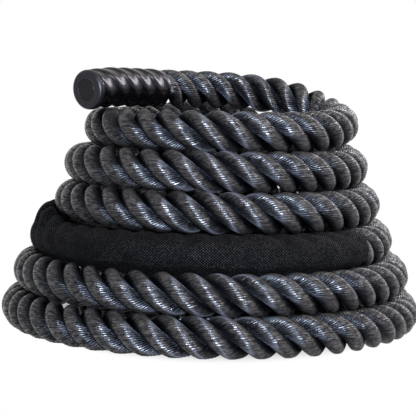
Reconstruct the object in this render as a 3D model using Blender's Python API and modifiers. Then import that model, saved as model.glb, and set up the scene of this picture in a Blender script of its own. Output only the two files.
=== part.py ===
"""Battle rope, 50 mm by 9.14 m, coiled in a tapering stack of six turns.

The free handle end crosses the top of the stack. The other handle end is
put away on the floor inside the bottom turn. A woven sleeve covers the
middle of the rope. Metres, +Z up, front towards -Y, floor at Z = 0.
"""
import math

import bmesh
import bpy
from mathutils import Vector

MM = 0.001

# The rope
ROPE_LENGTH = 9144 * MM
ROPE_DIAMETER = 50 * MM
ROPE_RADIUS = ROPE_DIAMETER / 2
FLOOR_CUT = ROPE_DIAMETER / 10

# The stack: centre line radius and sideways shift of each turn, floor first
TURN_RADII = (258.5 * MM, 243.4 * MM, 221 * MM, 195.8 * MM, 180.9 * MM, 160.5 * MM)
TURN_SHIFTS = (5.4 * MM, 5.7 * MM, 5 * MM, 12.5 * MM, 9.8 * MM, 15.5 * MM)
TURN_COUNT = len(TURN_RADII)
STACK_CENTRE = Vector((-5.4 * MM, 7 * MM, 0))
TURN_SLACK = 2.05 * MM
TURN_SEPARATION = ROPE_DIAMETER + TURN_SLACK
TURN_POINTS = 24
STEP_ANGLE = 360 / TURN_POINTS

# Where the rope steps from one turn to the next, in degrees turned from the
# right end of a turn, through the front and the left, to the back
STEP_DOWN_START = 264
STEP_DOWN_END = 368
TOP_ROW_STEP_DOWN_START = 285
TOP_STEP_START = -150
TOP_STEP_END = 64
TURN_IN_START = 205
TURN_IN_END = 282
TURN_IN_GAP = 3.5 * MM
TURN_IN_LIFT = 1.4 * MM
TURN_IN_LIFT_MARGIN = 15
TAIL_DRIFT = 65 * MM
TAIL_RISE_START = 440
TAIL_RISE_END = 490
TAIL_STRAIGHT = 90 * MM

# The top turn stands a little off the turn below it at the back
BACK_LIFT = 6 * MM
BACK_LIFT_START = 200
BACK_LIFT_END = 345

# The free end's route, from the rope's end inside the grip back to the stack:
# a run that droops and bows at the grip, then a bend round to the right end of
# the top turn. A run knot is a distance in from the end and a height. Heights
# are above or below the level of a turn that lay on the top turn.
TOP_RUN_END = Vector((-154.5, -66.5, 0)) * MM
TOP_RUN_TURN = 48
TOP_RUN_BOW = 3.2 * MM
TOP_RUN_BOW_REACH = 104 * MM
TOP_RUN_KNOTS = (
    (0, -1.9 * MM),
    (28 * MM, 0.9 * MM),
    (54 * MM, 1.3 * MM),
    (84 * MM, 1.3 * MM),
    (119 * MM, 1.2 * MM),
    (135 * MM, 1.2 * MM),
    (154 * MM, 1.3 * MM),
)
TOP_BEND = (
    Vector((-30.0, 65.5, 1.2)) * MM,
    Vector((-0.7, 84.5, 1.0)) * MM,
    Vector((35.0, 99.0, -0.2)) * MM,
    Vector((73.3, 104.5, -3.2)) * MM,
    Vector((109.8, 98.7, -9.3)) * MM,
    Vector((137.7, 83.2, -18.0)) * MM,
    Vector((158.0, 60.7, -28.5)) * MM,
    Vector((171.8, 31.7, -36.9)) * MM,
    Vector((176.8, -3.5, -43.0)) * MM,
)
FIRST_TURN_ANGLE = 15

# The free end lifts about a hinge just behind its grip
HINGE_SETBACK = 13 * MM

# Gaps between pieces that touch
FIT_GAP = 0.3 * MM
SLIP_GAP = 0.4 * MM

# Grips: rubber tubes shrunk tight on the rope, with soft ridges that wind round
GRIP_LENGTH = 132 * MM
GRIP_SQUEEZE = 2.3 * MM
GRIP_BORE_RADIUS = ROPE_RADIUS - GRIP_SQUEEZE
GRIP_WALL = 2.0 * MM
GRIP_RIDGE = 1.8 * MM
GRIP_RIDGES = 3
GRIP_LEAD = 75 * MM
GRIP_RADIUS = GRIP_BORE_RADIUS + GRIP_WALL + GRIP_RIDGE
GRIP_SIDES = 18
GRIP_STATIONS = 28
GRIP_NECK = 3 * MM
GRIP_BEND_STEP = 14 * MM

# End caps: a turned plug with a rounded rim and a round recess
CAP_RADIUS = 26 * MM
CAP_LENGTH = 7.5 * MM
CAP_ROUNDING = 4 * MM
CAP_PLUG_LENGTH = 8 * MM
CAP_RECESS_RADIUS = 14 * MM
CAP_RECESS_DEPTH = 2.2 * MM
CAP_STEPS = 32
CAP_ROUNDING_STEPS = 4
DISC_THICKNESS = 1.6 * MM

# Whippings: tape wound round each rope end, under the grip
WHIPPING_LENGTH = 30 * MM
WHIPPING_WALL = 1.1 * MM
WHIPPING_SETBACK = 1 * MM

# The sleeve: a woven tube round the middle of the rope, closed by a lap
SLEEVE_LENGTH = 1000 * MM
SLEEVE_START_ANGLE = 36
SLEEVE_RADIUS = ROPE_RADIUS
SLEEVE_WALL = 1.2 * MM
LAP_WALL = 1.0 * MM
LAP_LOW_ANGLE = -33
LAP_HIGH_ANGLE = 14
LAP_POINTS = 5
LAP_END_MARGIN = 4 * MM

# Rope radii where a piece draws the strands in
GRIP_BORE_FLAT = GRIP_BORE_RADIUS * math.cos(math.pi / GRIP_SIDES)
GRIPPED_RADIUS = GRIP_BORE_FLAT - SLIP_GAP
WHIPPED_RADIUS = GRIPPED_RADIUS - WHIPPING_WALL - SLIP_GAP
SLEEVED_RADIUS = SLEEVE_RADIUS - SLEEVE_WALL - SLIP_GAP
DRAW_IN_RUN = 6 * MM

ROUTE_SAMPLES = 12
TAIL_STRAIGHT_KNOTS = 6
OVERRUN = 20 * MM


def smooth(share):
    """Ease from 0 to 1."""
    share = min(max(share, 0), 1)
    return share * share * (3 - 2 * share)


def hump(angle, start, end):
    """Rise from 0 to 1 and back between two angles."""
    return math.sin(math.pi * min(max((angle - start) / (end - start), 0), 1)) ** 2


def turn_heights():
    """Centre line height of each turn, which rests on the turn below."""
    heights = [ROPE_RADIUS - FLOOR_CUT]
    for low in range(TURN_COUNT - 1):
        inset = TURN_RADII[low] - TURN_RADII[low + 1]
        inset -= abs(TURN_SHIFTS[low + 1] - TURN_SHIFTS[low])
        heights.append(heights[-1] + math.sqrt(TURN_SEPARATION ** 2 - inset ** 2))
    return heights


TURN_HEIGHTS = turn_heights()
TOP_LEVEL = TURN_HEIGHTS[-1] + TURN_SEPARATION
TAIL_RADIUS = TURN_RADII[0] - ROPE_DIAMETER - TURN_IN_GAP


def mix(low, high, share):
    return low + (high - low) * share


def coil_point(turned):
    """Centre line point after a number of degrees down from the top turn."""
    turn = max(int(turned // 360), 0)
    angle = turned - 360 * turn
    row = TURN_COUNT - 1 - turn
    settling = angle < STEP_DOWN_END - 360
    if settling and row < TURN_COUNT - 1:
        row, angle = row + 1, angle + 360
    if row < 0 or (row == 0 and angle > TURN_IN_START):
        span = TURN_IN_END - TURN_IN_START
        since = angle - 360 * row - TURN_IN_START
        radius = mix(TURN_RADII[0], TAIL_RADIUS, smooth(since / span))
        radius -= TAIL_DRIFT * max(since - span, 0) / 360
        rise = (angle - 360 * row - TAIL_RISE_START) / (TAIL_RISE_END - TAIL_RISE_START)
        shift, height = TURN_SHIFTS[0], mix(TURN_HEIGHTS[0], GRIP_RADIUS, smooth(rise))
    else:
        start = TOP_ROW_STEP_DOWN_START if row == TURN_COUNT - 1 else STEP_DOWN_START
        share = smooth((angle - start) / (STEP_DOWN_END - start))
        below = max(row - 1, 0)
        radius = mix(TURN_RADII[row], TURN_RADII[below], share)
        shift = mix(TURN_SHIFTS[row], TURN_SHIFTS[below], share)
        height = mix(TURN_HEIGHTS[row], TURN_HEIGHTS[below], share)
        if row > 0:
            start, end = TURN_IN_START - TURN_IN_LIFT_MARGIN, TURN_IN_END + TURN_IN_LIFT_MARGIN
            height += TURN_IN_LIFT * hump(angle, start, end)
        if row == TURN_COUNT - 1:
            height += BACK_LIFT * hump(angle, BACK_LIFT_START, BACK_LIFT_END)
    if turned < TOP_STEP_END:
        share = smooth((turned - TOP_STEP_START) / (TOP_STEP_END - TOP_STEP_START))
        radius, shift = TURN_RADII[-1], TURN_SHIFTS[-1]
        height = mix(TOP_LEVEL, TURN_HEIGHTS[-1], share)
    around = math.radians(90 - turned)
    place = Vector((shift + radius * math.sin(around), -radius * math.cos(around), height))
    return STACK_CENTRE + place


def top_run_point(reach, height):
    """Point on the run, a distance in from the rope's end, which bows a little."""
    turn = math.radians(TOP_RUN_TURN)
    along = Vector((math.cos(turn), math.sin(turn), 0))
    across = Vector((math.sin(turn), -math.cos(turn), 0))
    bow = TOP_RUN_BOW * max(1 - reach / TOP_RUN_BOW_REACH, 0) ** 2
    return TOP_RUN_END + along * reach + across * bow + Vector((0, 0, height))


def spline_point(before, start, end, after, share):
    """Point of the smooth curve through four route points."""
    square, cube = share * share, share * share * share
    return 0.5 * (2 * start + (end - before) * share
                  + (2 * before - 5 * start + 4 * end - after) * square
                  + (3 * start - before - 3 * end + after) * cube)


class Route:
    """The rope's centre line, measured from the free handle end."""

    def __init__(self):
        level = STACK_CENTRE + Vector((0, 0, TOP_LEVEL))
        knots = [top_run_point(*knot) for knot in TOP_RUN_KNOTS] + list(TOP_BEND)
        knots = [knot + level for knot in knots]
        self.turned = [None] * len(knots)
        length = sum((after - before).length for before, after in zip(knots, knots[1:]))
        angle = FIRST_TURN_ANGLE
        while length < ROPE_LENGTH - TAIL_STRAIGHT:
            knots.append(coil_point(angle))
            self.turned.append(angle)
            length += (knots[-1] - knots[-2]).length
            angle += STEP_ANGLE
        ahead, behind = angle - STEP_ANGLE / 2, angle - STEP_ANGLE * 3 / 2
        aim = (coil_point(ahead) - coil_point(behind)).normalized()
        for _ in range(TAIL_STRAIGHT_KNOTS):
            knots.append(knots[-1] + aim * ROPE_RADIUS)
            self.turned.append(None)
        self.knots = knots
        self.points = []
        self.lengths = [0]
        self.knot_lengths = []
        last = len(knots) - 1
        for index in range(last):
            self.knot_lengths.append(self.lengths[-1])
            before, after = knots[max(index - 1, 0)], knots[min(index + 2, last)]
            for step in range(ROUTE_SAMPLES):
                share = step / ROUTE_SAMPLES
                point = spline_point(before, knots[index], knots[index + 1], after, share)
                if self.points:
                    self.lengths.append(self.lengths[-1] + (point - self.points[-1]).length)
                    if step == 0:
                        self.knot_lengths[-1] = self.lengths[-1]
                self.points.append(point)

    def at(self, length):
        """Point at a length from the free end, past either end in a line."""
        if length <= 0:
            return self.points[0] + (self.points[0] - self.points[1]).normalized() * -length
        low, high = 0, len(self.lengths) - 1
        while high - low > 1:
            middle = (low + high) // 2
            if self.lengths[middle] <= length:
                low = middle
            else:
                high = middle
        share = (length - self.lengths[low]) / (self.lengths[high] - self.lengths[low])
        return self.points[low].lerp(self.points[high], share)

    def direction(self, length):
        reach = ROPE_DIAMETER / 10
        return (self.at(length + reach) - self.at(length - reach)).normalized()

    def where_turned(self, angle):
        """Length at which the coil has turned by an angle."""
        for index, turned in enumerate(self.turned[:-1]):
            if turned is not None and turned <= angle < turned + STEP_ANGLE:
                share = (angle - turned) / STEP_ANGLE
                return mix(self.knot_lengths[index], self.knot_lengths[index + 1], share)
        raise ValueError("the coil does not turn that far")

    def stations(self, start, end, extra=()):
        """Lengths of the route points between two lengths, with both ends."""
        clear = ROPE_DIAMETER / 5
        inner = [s for s in self.knot_lengths if start + clear / 2 < s < end - clear]
        inner = [s for s in inner if all(abs(s - other) > clear for other in extra)]
        return sorted({start, end, *inner, *(s for s in extra if start < s < end)})


ROUTE = Route()
SLEEVE_START = ROUTE.where_turned(3 * 360 + SLEEVE_START_ANGLE)
SLEEVE_END = SLEEVE_START + SLEEVE_LENGTH
CAP_SETBACK = CAP_PLUG_LENGTH + FIT_GAP
GRIP_REACH = GRIP_LENGTH - CAP_SETBACK
HINGE_LENGTH = GRIP_REACH + HINGE_SETBACK


def rope_radius(length):
    """Rope radius, drawn in under the whippings, the grips and the sleeve."""
    from_end = min(length, ROPE_LENGTH - length)
    whipping_end = WHIPPING_SETBACK + WHIPPING_LENGTH + SLIP_GAP
    if from_end <= whipping_end:
        return WHIPPED_RADIUS
    if from_end <= GRIP_REACH:
        share = (from_end - whipping_end) / DRAW_IN_RUN
        return mix(WHIPPED_RADIUS, GRIPPED_RADIUS, min(share, 1))
    if from_end <= GRIP_REACH + DRAW_IN_RUN:
        return mix(GRIPPED_RADIUS, ROPE_RADIUS, (from_end - GRIP_REACH) / DRAW_IN_RUN)
    outside = max(SLEEVE_START - length, length - SLEEVE_END, 0)
    return mix(SLEEVED_RADIUS, ROPE_RADIUS, min(outside / DRAW_IN_RUN, 1))


def radius_breaks():
    """Lengths where the rope's radius changes its slope."""
    whipping_end = WHIPPING_SETBACK + WHIPPING_LENGTH + SLIP_GAP
    near = (whipping_end, whipping_end + DRAW_IN_RUN, GRIP_REACH, GRIP_REACH + DRAW_IN_RUN)
    bends = int((GRIP_REACH - near[1]) / GRIP_BEND_STEP)
    bent = tuple(mix(near[1], GRIP_REACH, step / bends) for step in range(1, bends))
    far = tuple(ROPE_LENGTH - length for length in near + bent)
    sleeve = (SLEEVE_START - DRAW_IN_RUN, SLEEVE_START, SLEEVE_END, SLEEVE_END + DRAW_IN_RUN)
    return near + sleeve + far


def new_collection(name):
    collection = bpy.data.collections.new(name)
    bpy.context.scene.collection.children.link(collection)
    return collection


def material(name, colour, roughness):
    surface = bpy.data.materials.new(name)
    surface.use_nodes = True
    shader = surface.node_tree.nodes["Principled BSDF"]
    shader.inputs["Base Color"].default_value = (*colour, 1)
    shader.inputs["Roughness"].default_value = roughness
    shader.inputs["Metallic"].default_value = 0
    return surface


def mesh_object(name, mesh, collection, surface):
    piece = bpy.data.objects.new(name, mesh)
    collection.objects.link(piece)
    mesh.materials.clear()
    mesh.materials.append(surface)
    return piece


def tube_curve(name, lengths, radius_at, depth, resolution, capped, collection):
    """Round tube along the route, as a curve with a bevel."""
    curve = bpy.data.curves.new(name, "CURVE")
    curve.dimensions = "3D"
    curve.twist_mode = "Z_UP"
    curve.bevel_depth = depth
    curve.bevel_resolution = resolution
    curve.use_fill_caps = capped
    spline = curve.splines.new("POLY")
    spline.points.add(len(lengths) - 1)
    for point, length in zip(spline.points, lengths):
        point.co = (*ROUTE.at(length), 1)
        point.radius = radius_at(length) / depth
    tube = bpy.data.objects.new(name, curve)
    collection.objects.link(tube)
    return tube


def curve_to_mesh(tube, collection, surface):
    """Turn a curve object into a mesh object with welded caps."""
    bpy.context.view_layer.update()
    evaluated = tube.evaluated_get(bpy.context.evaluated_depsgraph_get())
    mesh = bpy.data.meshes.new_from_object(evaluated)
    name = tube.name
    place = tube.matrix_world.copy()
    bpy.data.objects.remove(tube)
    welded = bmesh.new()
    welded.from_mesh(mesh)
    bmesh.ops.remove_doubles(welded, verts=welded.verts, dist=FIT_GAP / 10)
    welded.to_mesh(mesh)
    welded.free()
    piece = mesh_object(name, mesh, collection, surface)
    piece.matrix_world = place
    return piece


def floor_cutter(collection):
    """Box below the floor that cuts the rope's underside flat."""
    bpy.ops.mesh.primitive_cube_add(size=1)
    cutter = bpy.context.object
    cutter.name = "floor_cutter"
    reach = 2 * (TURN_RADII[0] + ROPE_DIAMETER + OVERRUN)
    cutter.scale = (reach, reach, OVERRUN)
    cutter.location = STACK_CENTRE + Vector((0, 0, -OVERRUN / 2))
    for other in cutter.users_collection:
        other.objects.unlink(cutter)
    collection.objects.link(cutter)
    cutter.hide_render = True
    cutter.display_type = "WIRE"
    return cutter


def cut(piece, cutter):
    boolean = piece.modifiers.new("floor", "BOOLEAN")
    boolean.operation = "DIFFERENCE"
    boolean.object = cutter


def make_rope(collection, cutters, surface):
    """The rope in two lengths: the free end, and the stack with its tail."""
    lead_stations = ROUTE.stations(0, HINGE_LENGTH - FIT_GAP / 2, radius_breaks())
    lead = tube_curve("rope_free_end", lead_stations, rope_radius, ROPE_RADIUS, 4, True, collection)
    curve_to_mesh(lead, collection, surface)
    coil_stations = ROUTE.stations(HINGE_LENGTH + FIT_GAP / 2, ROPE_LENGTH, radius_breaks())
    coil = tube_curve("rope_coil", coil_stations, rope_radius, ROPE_RADIUS, 1, True, collection)
    coil = curve_to_mesh(coil, collection, surface)
    cut(coil, floor_cutter(cutters))
    return coil_stations


def make_sleeve(collection, surface):
    """Woven tube round the rope: an open tube given its wall."""
    stations = ROUTE.stations(SLEEVE_START, SLEEVE_END)
    bore = SLEEVE_RADIUS - SLEEVE_WALL
    tube = tube_curve("sleeve", stations, lambda length: bore, bore, 4, False, collection)
    piece = curve_to_mesh(tube, collection, surface)
    add_wall(piece, SLEEVE_WALL)


def add_wall(piece, wall):
    solid = piece.modifiers.new("wall", "SOLIDIFY")
    solid.thickness = wall
    solid.offset = 1
    solid.use_even_offset = True


def make_lap(collection, guides, surface):
    """Strip that laps over the sleeve's edges, along its outer side."""
    inner = SLEEVE_RADIUS + FIT_GAP
    outline = bpy.data.curves.new("lap_outline", "CURVE")
    outline.dimensions = "2D"
    spline = outline.splines.new("POLY")
    spline.points.add(LAP_POINTS - 1)
    for index, point in enumerate(spline.points):
        angle = math.radians(mix(LAP_LOW_ANGLE, LAP_HIGH_ANGLE, index / (LAP_POINTS - 1)))
        point.co = (-inner * math.cos(angle), inner * math.sin(angle), 0, 1)
    guide = bpy.data.objects.new("lap_outline", outline)
    guides.objects.link(guide)
    guide.hide_render = True
    guide.display_type = "WIRE"
    start, end = SLEEVE_START + LAP_END_MARGIN, SLEEVE_END - LAP_END_MARGIN
    stations = ROUTE.stations(start, end)
    tube = tube_curve("sleeve_lap", stations, lambda length: inner, inner, 1, False, collection)
    tube.data.bevel_mode = "OBJECT"
    tube.data.bevel_object = guide
    for point in tube.data.splines[0].points:
        point.radius = 1
    piece = curve_to_mesh(tube, collection, surface)
    add_wall(piece, LAP_WALL)


def section_frame(length):
    """Point, outward side and up direction of the rope's cross-section."""
    along = ROUTE.direction(length)
    side = along.cross(Vector((0, 0, 1))).normalized()
    return ROUTE.at(length), side, side.cross(along)


def grip_radius(length, angle, from_rear):
    """Outer radius of a grip, with the ridges that wind round it."""
    twist = GRIP_RIDGES * (angle + 2 * math.pi * length / GRIP_LEAD)
    fade = smooth(from_rear / (GRIP_NECK * 4))
    ridge = GRIP_RIDGE * (1 + math.cos(twist)) / 2
    return GRIP_BORE_RADIUS + GRIP_WALL + ridge * fade


def make_grip(name, mouth, inward, collection, surface):
    """Ridged tube lofted along the route, from its cap end inwards."""
    grip = bmesh.new()
    rings = []
    for station in range(GRIP_STATIONS + 1):
        reach = GRIP_LENGTH * station / GRIP_STATIONS
        length = mouth + inward * reach
        centre, side, up = section_frame(length)
        outer, inner = [], []
        for corner in range(GRIP_SIDES):
            angle = 2 * math.pi * corner / GRIP_SIDES
            arm = side * math.cos(angle) + up * math.sin(angle)
            radius = grip_radius(length, angle, GRIP_LENGTH - reach)
            outer.append(grip.verts.new(centre + arm * radius))
            inner.append(grip.verts.new(centre + arm * GRIP_BORE_RADIUS))
        rings.append((outer, inner))
    for (outer, inner), (next_outer, next_inner) in zip(rings, rings[1:]):
        for corner in range(GRIP_SIDES):
            after = (corner + 1) % GRIP_SIDES
            grip.faces.new((outer[corner], outer[after], next_outer[after], next_outer[corner]))
            grip.faces.new((inner[after], inner[corner], next_inner[corner], next_inner[after]))
    for outer, inner in (rings[0], rings[-1]):
        for corner in range(GRIP_SIDES):
            after = (corner + 1) % GRIP_SIDES
            grip.faces.new((outer[corner], inner[corner], inner[after], outer[after]))
    bmesh.ops.recalc_face_normals(grip, faces=grip.faces)
    mesh = bpy.data.meshes.new(name)
    grip.to_mesh(mesh)
    grip.free()
    mesh_object(name, mesh, collection, surface)


def turned_piece(name, profile, place, outward, collection, surface):
    """Turn a profile round the rope's axis, with +Z pointing out of its end."""
    mesh = bpy.data.meshes.new(name)
    corners = [(radius, 0, height) for radius, height in profile]
    edges = [(index, index + 1) for index in range(len(corners) - 1)]
    mesh.from_pydata(corners, edges, [])
    piece = mesh_object(name, mesh, collection, surface)
    screw = piece.modifiers.new("turn", "SCREW")
    screw.steps = CAP_STEPS
    screw.render_steps = CAP_STEPS
    screw.use_merge_vertices = True
    screw.merge_threshold = FIT_GAP / 10
    piece.location = place
    piece.rotation_mode = "QUATERNION"
    piece.rotation_quaternion = outward.to_track_quat("Z", "Y")
    return piece


def cap_profile():
    """Half outline of a cap, down its outer side from the recess to the plug."""
    plug_radius = GRIP_BORE_FLAT - SLIP_GAP
    floor = CAP_LENGTH - CAP_RECESS_DEPTH
    profile = [(0, floor), (CAP_RECESS_RADIUS, floor), (CAP_RECESS_RADIUS, CAP_LENGTH)]
    for step in range(CAP_ROUNDING_STEPS + 1):
        angle = math.radians(90 * (1 - step / CAP_ROUNDING_STEPS))
        radius = CAP_RADIUS - CAP_ROUNDING * (1 - math.cos(angle))
        height = CAP_LENGTH - CAP_ROUNDING * (1 - math.sin(angle))
        profile.append((radius, height))
    profile += [(CAP_RADIUS, 0), (plug_radius, 0), (plug_radius, -CAP_PLUG_LENGTH)]
    profile.append((0, -CAP_PLUG_LENGTH))
    return profile


def make_end(side, end, inward, collection, surfaces):
    """Whipping, grip, cap and cap disc on one end of the rope."""
    tape = (end + inward * WHIPPING_SETBACK, end + inward * (WHIPPING_SETBACK + WHIPPING_LENGTH))
    bore = WHIPPED_RADIUS + SLIP_GAP
    stations = [min(tape), (tape[0] + tape[1]) / 2, max(tape)]
    tube = tube_curve(f"whipping_{side}", stations, lambda length: bore, bore, 4, False, collection)
    add_wall(curve_to_mesh(tube, collection, surfaces["tape"]), WHIPPING_WALL)
    mouth = end - inward * CAP_SETBACK
    make_grip(f"grip_{side}", mouth, inward, collection, surfaces["rubber"])
    seat = mouth - inward * FIT_GAP
    outward = (ROUTE.at(seat) - ROUTE.at(mouth)).normalized()
    place = ROUTE.at(seat)
    turned_piece(f"end_cap_{side}", cap_profile(), place, outward, collection, surfaces["cap"])
    low = CAP_LENGTH - CAP_RECESS_DEPTH + FIT_GAP
    high, radius = low + DISC_THICKNESS, CAP_RECESS_RADIUS - FIT_GAP
    disc = [(0, high), (radius, high), (radius, low), (0, low)]
    turned_piece(f"cap_disc_{side}", disc, place, outward, collection, surfaces["disc"])


def least_gap(stations):
    """Smallest gap between two stretches of the coiled tube, on its points."""
    spots = []
    for start, end in zip(stations, stations[1:]):
        pieces = max(int((end - start) / (ROPE_DIAMETER / 5)), 1)
        for step in range(pieces):
            share = step / pieces
            point = ROUTE.at(start).lerp(ROUTE.at(end), share)
            spots.append((mix(start, end, share), point))
    radii = [rope_radius(length) for length, _ in spots]
    smallest = ROPE_LENGTH
    for index, (length, point) in enumerate(spots):
        for later in range(index + 1, len(spots)):
            other_length, other = spots[later]
            if other_length - length < ROPE_DIAMETER * 4:
                continue
            gap = (other - point).length - radii[index] - radii[later]
            smallest = min(smallest, gap)
    return smallest


def clear_scene():
    for item in list(bpy.context.scene.objects):
        bpy.data.objects.remove(item)


def report_hinge():
    """Print the hinge that lets the free end lift: its place and its axis."""
    point, _, up = section_frame(HINGE_LENGTH)
    along = ROUTE.direction(HINGE_LENGTH)
    axis = up.cross(along).normalized()
    place = point + up * ROPE_RADIUS
    print("hinge place", [round(value, 6) for value in place])
    print("hinge axis", [round(value, 6) for value in axis])


def main():
    clear_scene()
    parts = new_collection("battle_rope")
    guides = new_collection("cutters")
    surfaces = {
        "rope": material("rope_fibre", (0.045, 0.045, 0.052), 0.62),
        "sleeve": material("sleeve_weave", (0.010, 0.010, 0.011), 0.72),
        "rubber": material("grip_rubber", (0.008, 0.008, 0.009), 0.45),
        "cap": material("cap_rubber", (0.025, 0.025, 0.033), 0.50),
        "tape": material("whipping_tape", (0.012, 0.012, 0.012), 0.55),
        "disc": material("disc_plastic", (0.030, 0.030, 0.038), 0.35),
    }
    coil_stations = make_rope(parts, guides, surfaces["rope"])
    make_sleeve(parts, surfaces["sleeve"])
    make_lap(parts, guides, surfaces["sleeve"])
    make_end("top", 0, 1, parts, surfaces)
    make_end("tail", ROPE_LENGTH, -1, parts, surfaces)
    print("least gap between turns, mm:", round(least_gap(coil_stations) / MM, 2))
    print("sleeve from", round(SLEEVE_START, 4), "to", round(SLEEVE_END, 4))
    report_hinge()


main()
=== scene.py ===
"""Dress a coiled battle rope, on a studio floor.

Laid strands, a woven sleeve, rubber grips and end caps are built around the
packed frame, along the same route as the frame's rope. Metres, +Z up, the front
towards -Y.
"""

import math

import bmesh
import bpy
from mathutils import Matrix, Vector
from mathutils.noise import fractal


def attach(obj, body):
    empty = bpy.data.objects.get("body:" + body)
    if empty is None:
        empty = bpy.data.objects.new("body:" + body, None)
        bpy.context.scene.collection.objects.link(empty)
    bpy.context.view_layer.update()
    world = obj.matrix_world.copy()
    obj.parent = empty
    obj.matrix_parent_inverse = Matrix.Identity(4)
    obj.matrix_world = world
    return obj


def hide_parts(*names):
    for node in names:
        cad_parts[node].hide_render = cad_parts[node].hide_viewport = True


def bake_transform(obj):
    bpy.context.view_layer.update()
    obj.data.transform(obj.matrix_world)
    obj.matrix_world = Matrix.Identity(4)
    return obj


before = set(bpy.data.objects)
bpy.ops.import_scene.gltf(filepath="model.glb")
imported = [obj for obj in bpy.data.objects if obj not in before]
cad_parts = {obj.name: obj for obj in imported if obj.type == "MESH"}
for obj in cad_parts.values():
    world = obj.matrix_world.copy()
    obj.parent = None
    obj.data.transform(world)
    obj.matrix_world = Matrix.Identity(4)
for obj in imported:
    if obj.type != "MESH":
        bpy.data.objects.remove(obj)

bl_info = {
    "name": "Battle rope dresser",
    "version": (1, 0, 0),
    "blender": (4, 5, 0),
    "location": "3D View > Sidebar > Battle rope",
    "description": "Dresses a coiled rope with laid strands, a woven sleeve, grips and caps",
    "category": "Object",
}

MM = 0.001
TURN = 2 * math.pi
UP = Vector((0, 0, 1))

# The rope and its coil, as in the frame
ROPE_LENGTH = 9144 * MM
ROPE_DIAMETER = 50 * MM
ROPE_RADIUS = ROPE_DIAMETER / 2
STRANDS = 3
FLOOR_CUT = ROPE_DIAMETER / 10
TURN_RADII = (258.5 * MM, 243.4 * MM, 221 * MM, 195.8 * MM, 180.9 * MM, 160.5 * MM)
TURN_SHIFTS = (5.4 * MM, 5.7 * MM, 5 * MM, 12.5 * MM, 9.8 * MM, 15.5 * MM)
TURN_COUNT = len(TURN_RADII)
STACK_CENTRE = Vector((-5.4 * MM, 7 * MM, 0))
TURN_SEPARATION = ROPE_DIAMETER + 2.05 * MM
TURN_POINTS = 24
STEP_ANGLE = 360 / TURN_POINTS

# Steps from one turn to the next, in degrees turned from the right end of a
# turn, through the front and the left, to the back
STEP_DOWN_START = 264
STEP_DOWN_END = 368
TOP_STEP_START = -150
TOP_STEP_END = 64
TURN_IN_START = 205
TURN_IN_END = 282
TURN_IN_GAP = 3.5 * MM
TURN_IN_LIFT = 1.4 * MM
TURN_IN_LIFT_MARGIN = 15
TAIL_DRIFT = 65 * MM
TAIL_RISE_START = 440
TAIL_RISE_END = 490
TAIL_STRAIGHT = 90 * MM
TAIL_STRAIGHT_KNOTS = 6

# The top turn stands off the turn below it at the back, and starts down to it
# there, a few millimetres higher and some degrees sooner than in the frame, so
# that its strands hide what lies behind the run
TOP_ROW_STEP_DOWN_START = 268
BACK_LIFT = 12 * MM
BACK_LIFT_START = 212
BACK_LIFT_END = 308

# The free end's route, from the rope's end inside the grip back to the stack:
# a run that droops and bows at the grip, then a bend round to the right end of
# the top turn. A run knot is a distance in from the end and a height. Heights
# are above or below the level of a turn that lay on the top turn.
TOP_RUN_END = Vector((-154.5, -66.5, 0)) * MM
TOP_RUN_TURN = 48
TOP_RUN_BOW = 3.2 * MM
TOP_RUN_BOW_REACH = 104 * MM
TOP_RUN_KNOTS = (
    (0, -1.9 * MM),
    (28 * MM, 0.9 * MM),
    (54 * MM, 1.3 * MM),
    (84 * MM, 1.3 * MM),
    (119 * MM, 1.2 * MM),
    (135 * MM, 1.2 * MM),
    (154 * MM, 1.3 * MM),
)
TOP_BEND = (
    Vector((-30.0, 65.5, 1.2)) * MM,
    Vector((-0.7, 84.5, 1.0)) * MM,
    Vector((35.0, 99.0, -0.2)) * MM,
    Vector((73.3, 104.5, -3.2)) * MM,
    Vector((109.8, 98.7, -9.3)) * MM,
    Vector((137.7, 83.2, -18.0)) * MM,
    Vector((158.0, 60.7, -28.5)) * MM,
    Vector((171.8, 31.7, -36.9)) * MM,
    Vector((176.8, -3.5, -43.0)) * MM,
)
FIRST_TURN_ANGLE = 15
ROUTE_SAMPLES = 12

# The round strands just reach the floor, so the lower turns lie higher than
# the frame's flattened tube, by a height that fades to nothing at the top turn
FLOOR_LIFT = 4 * MM

# Grips, caps, whippings and sleeve, as in the frame
GRIP_LENGTH = 132 * MM
GRIP_BORE_RADIUS = 22.7 * MM
GRIP_RADIUS = 26.5 * MM
GRIP_NECK_RADIUS = 24.7 * MM
NECK_RUN = 12 * MM
GRIP_RIDGES = 3
GRIP_LEAD = 75 * MM
GRIPPED_RADIUS = 21.9 * MM
WHIPPED_RADIUS = 20.4 * MM
WHIPPING_END = 31.4 * MM
CAP_RADIUS = 26 * MM
CAP_LENGTH = 7.5 * MM
CAP_ROUNDING = 4 * MM
CAP_PLUG_LENGTH = 8 * MM
CAP_PLUG_RADIUS = 22 * MM
CAP_RECESS_RADIUS = 14 * MM
CAP_RECESS_DEPTH = 2.2 * MM
DISC_THICKNESS = 1.6 * MM
FIT_GAP = 0.3 * MM
CAP_SETBACK = CAP_PLUG_LENGTH + FIT_GAP
GRIP_REACH = GRIP_LENGTH - CAP_SETBACK
SLEEVE_LENGTH = 1000 * MM
SLEEVE_START_TURNED = 3 * 360 + 36
SLEEVED_RADIUS = 23.4 * MM
SLEEVE_RADIUS = ROPE_RADIUS
LAP_LOW_ANGLE = -33
LAP_HIGH_ANGLE = 14
DRAW_IN_RUN = 6 * MM

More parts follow.
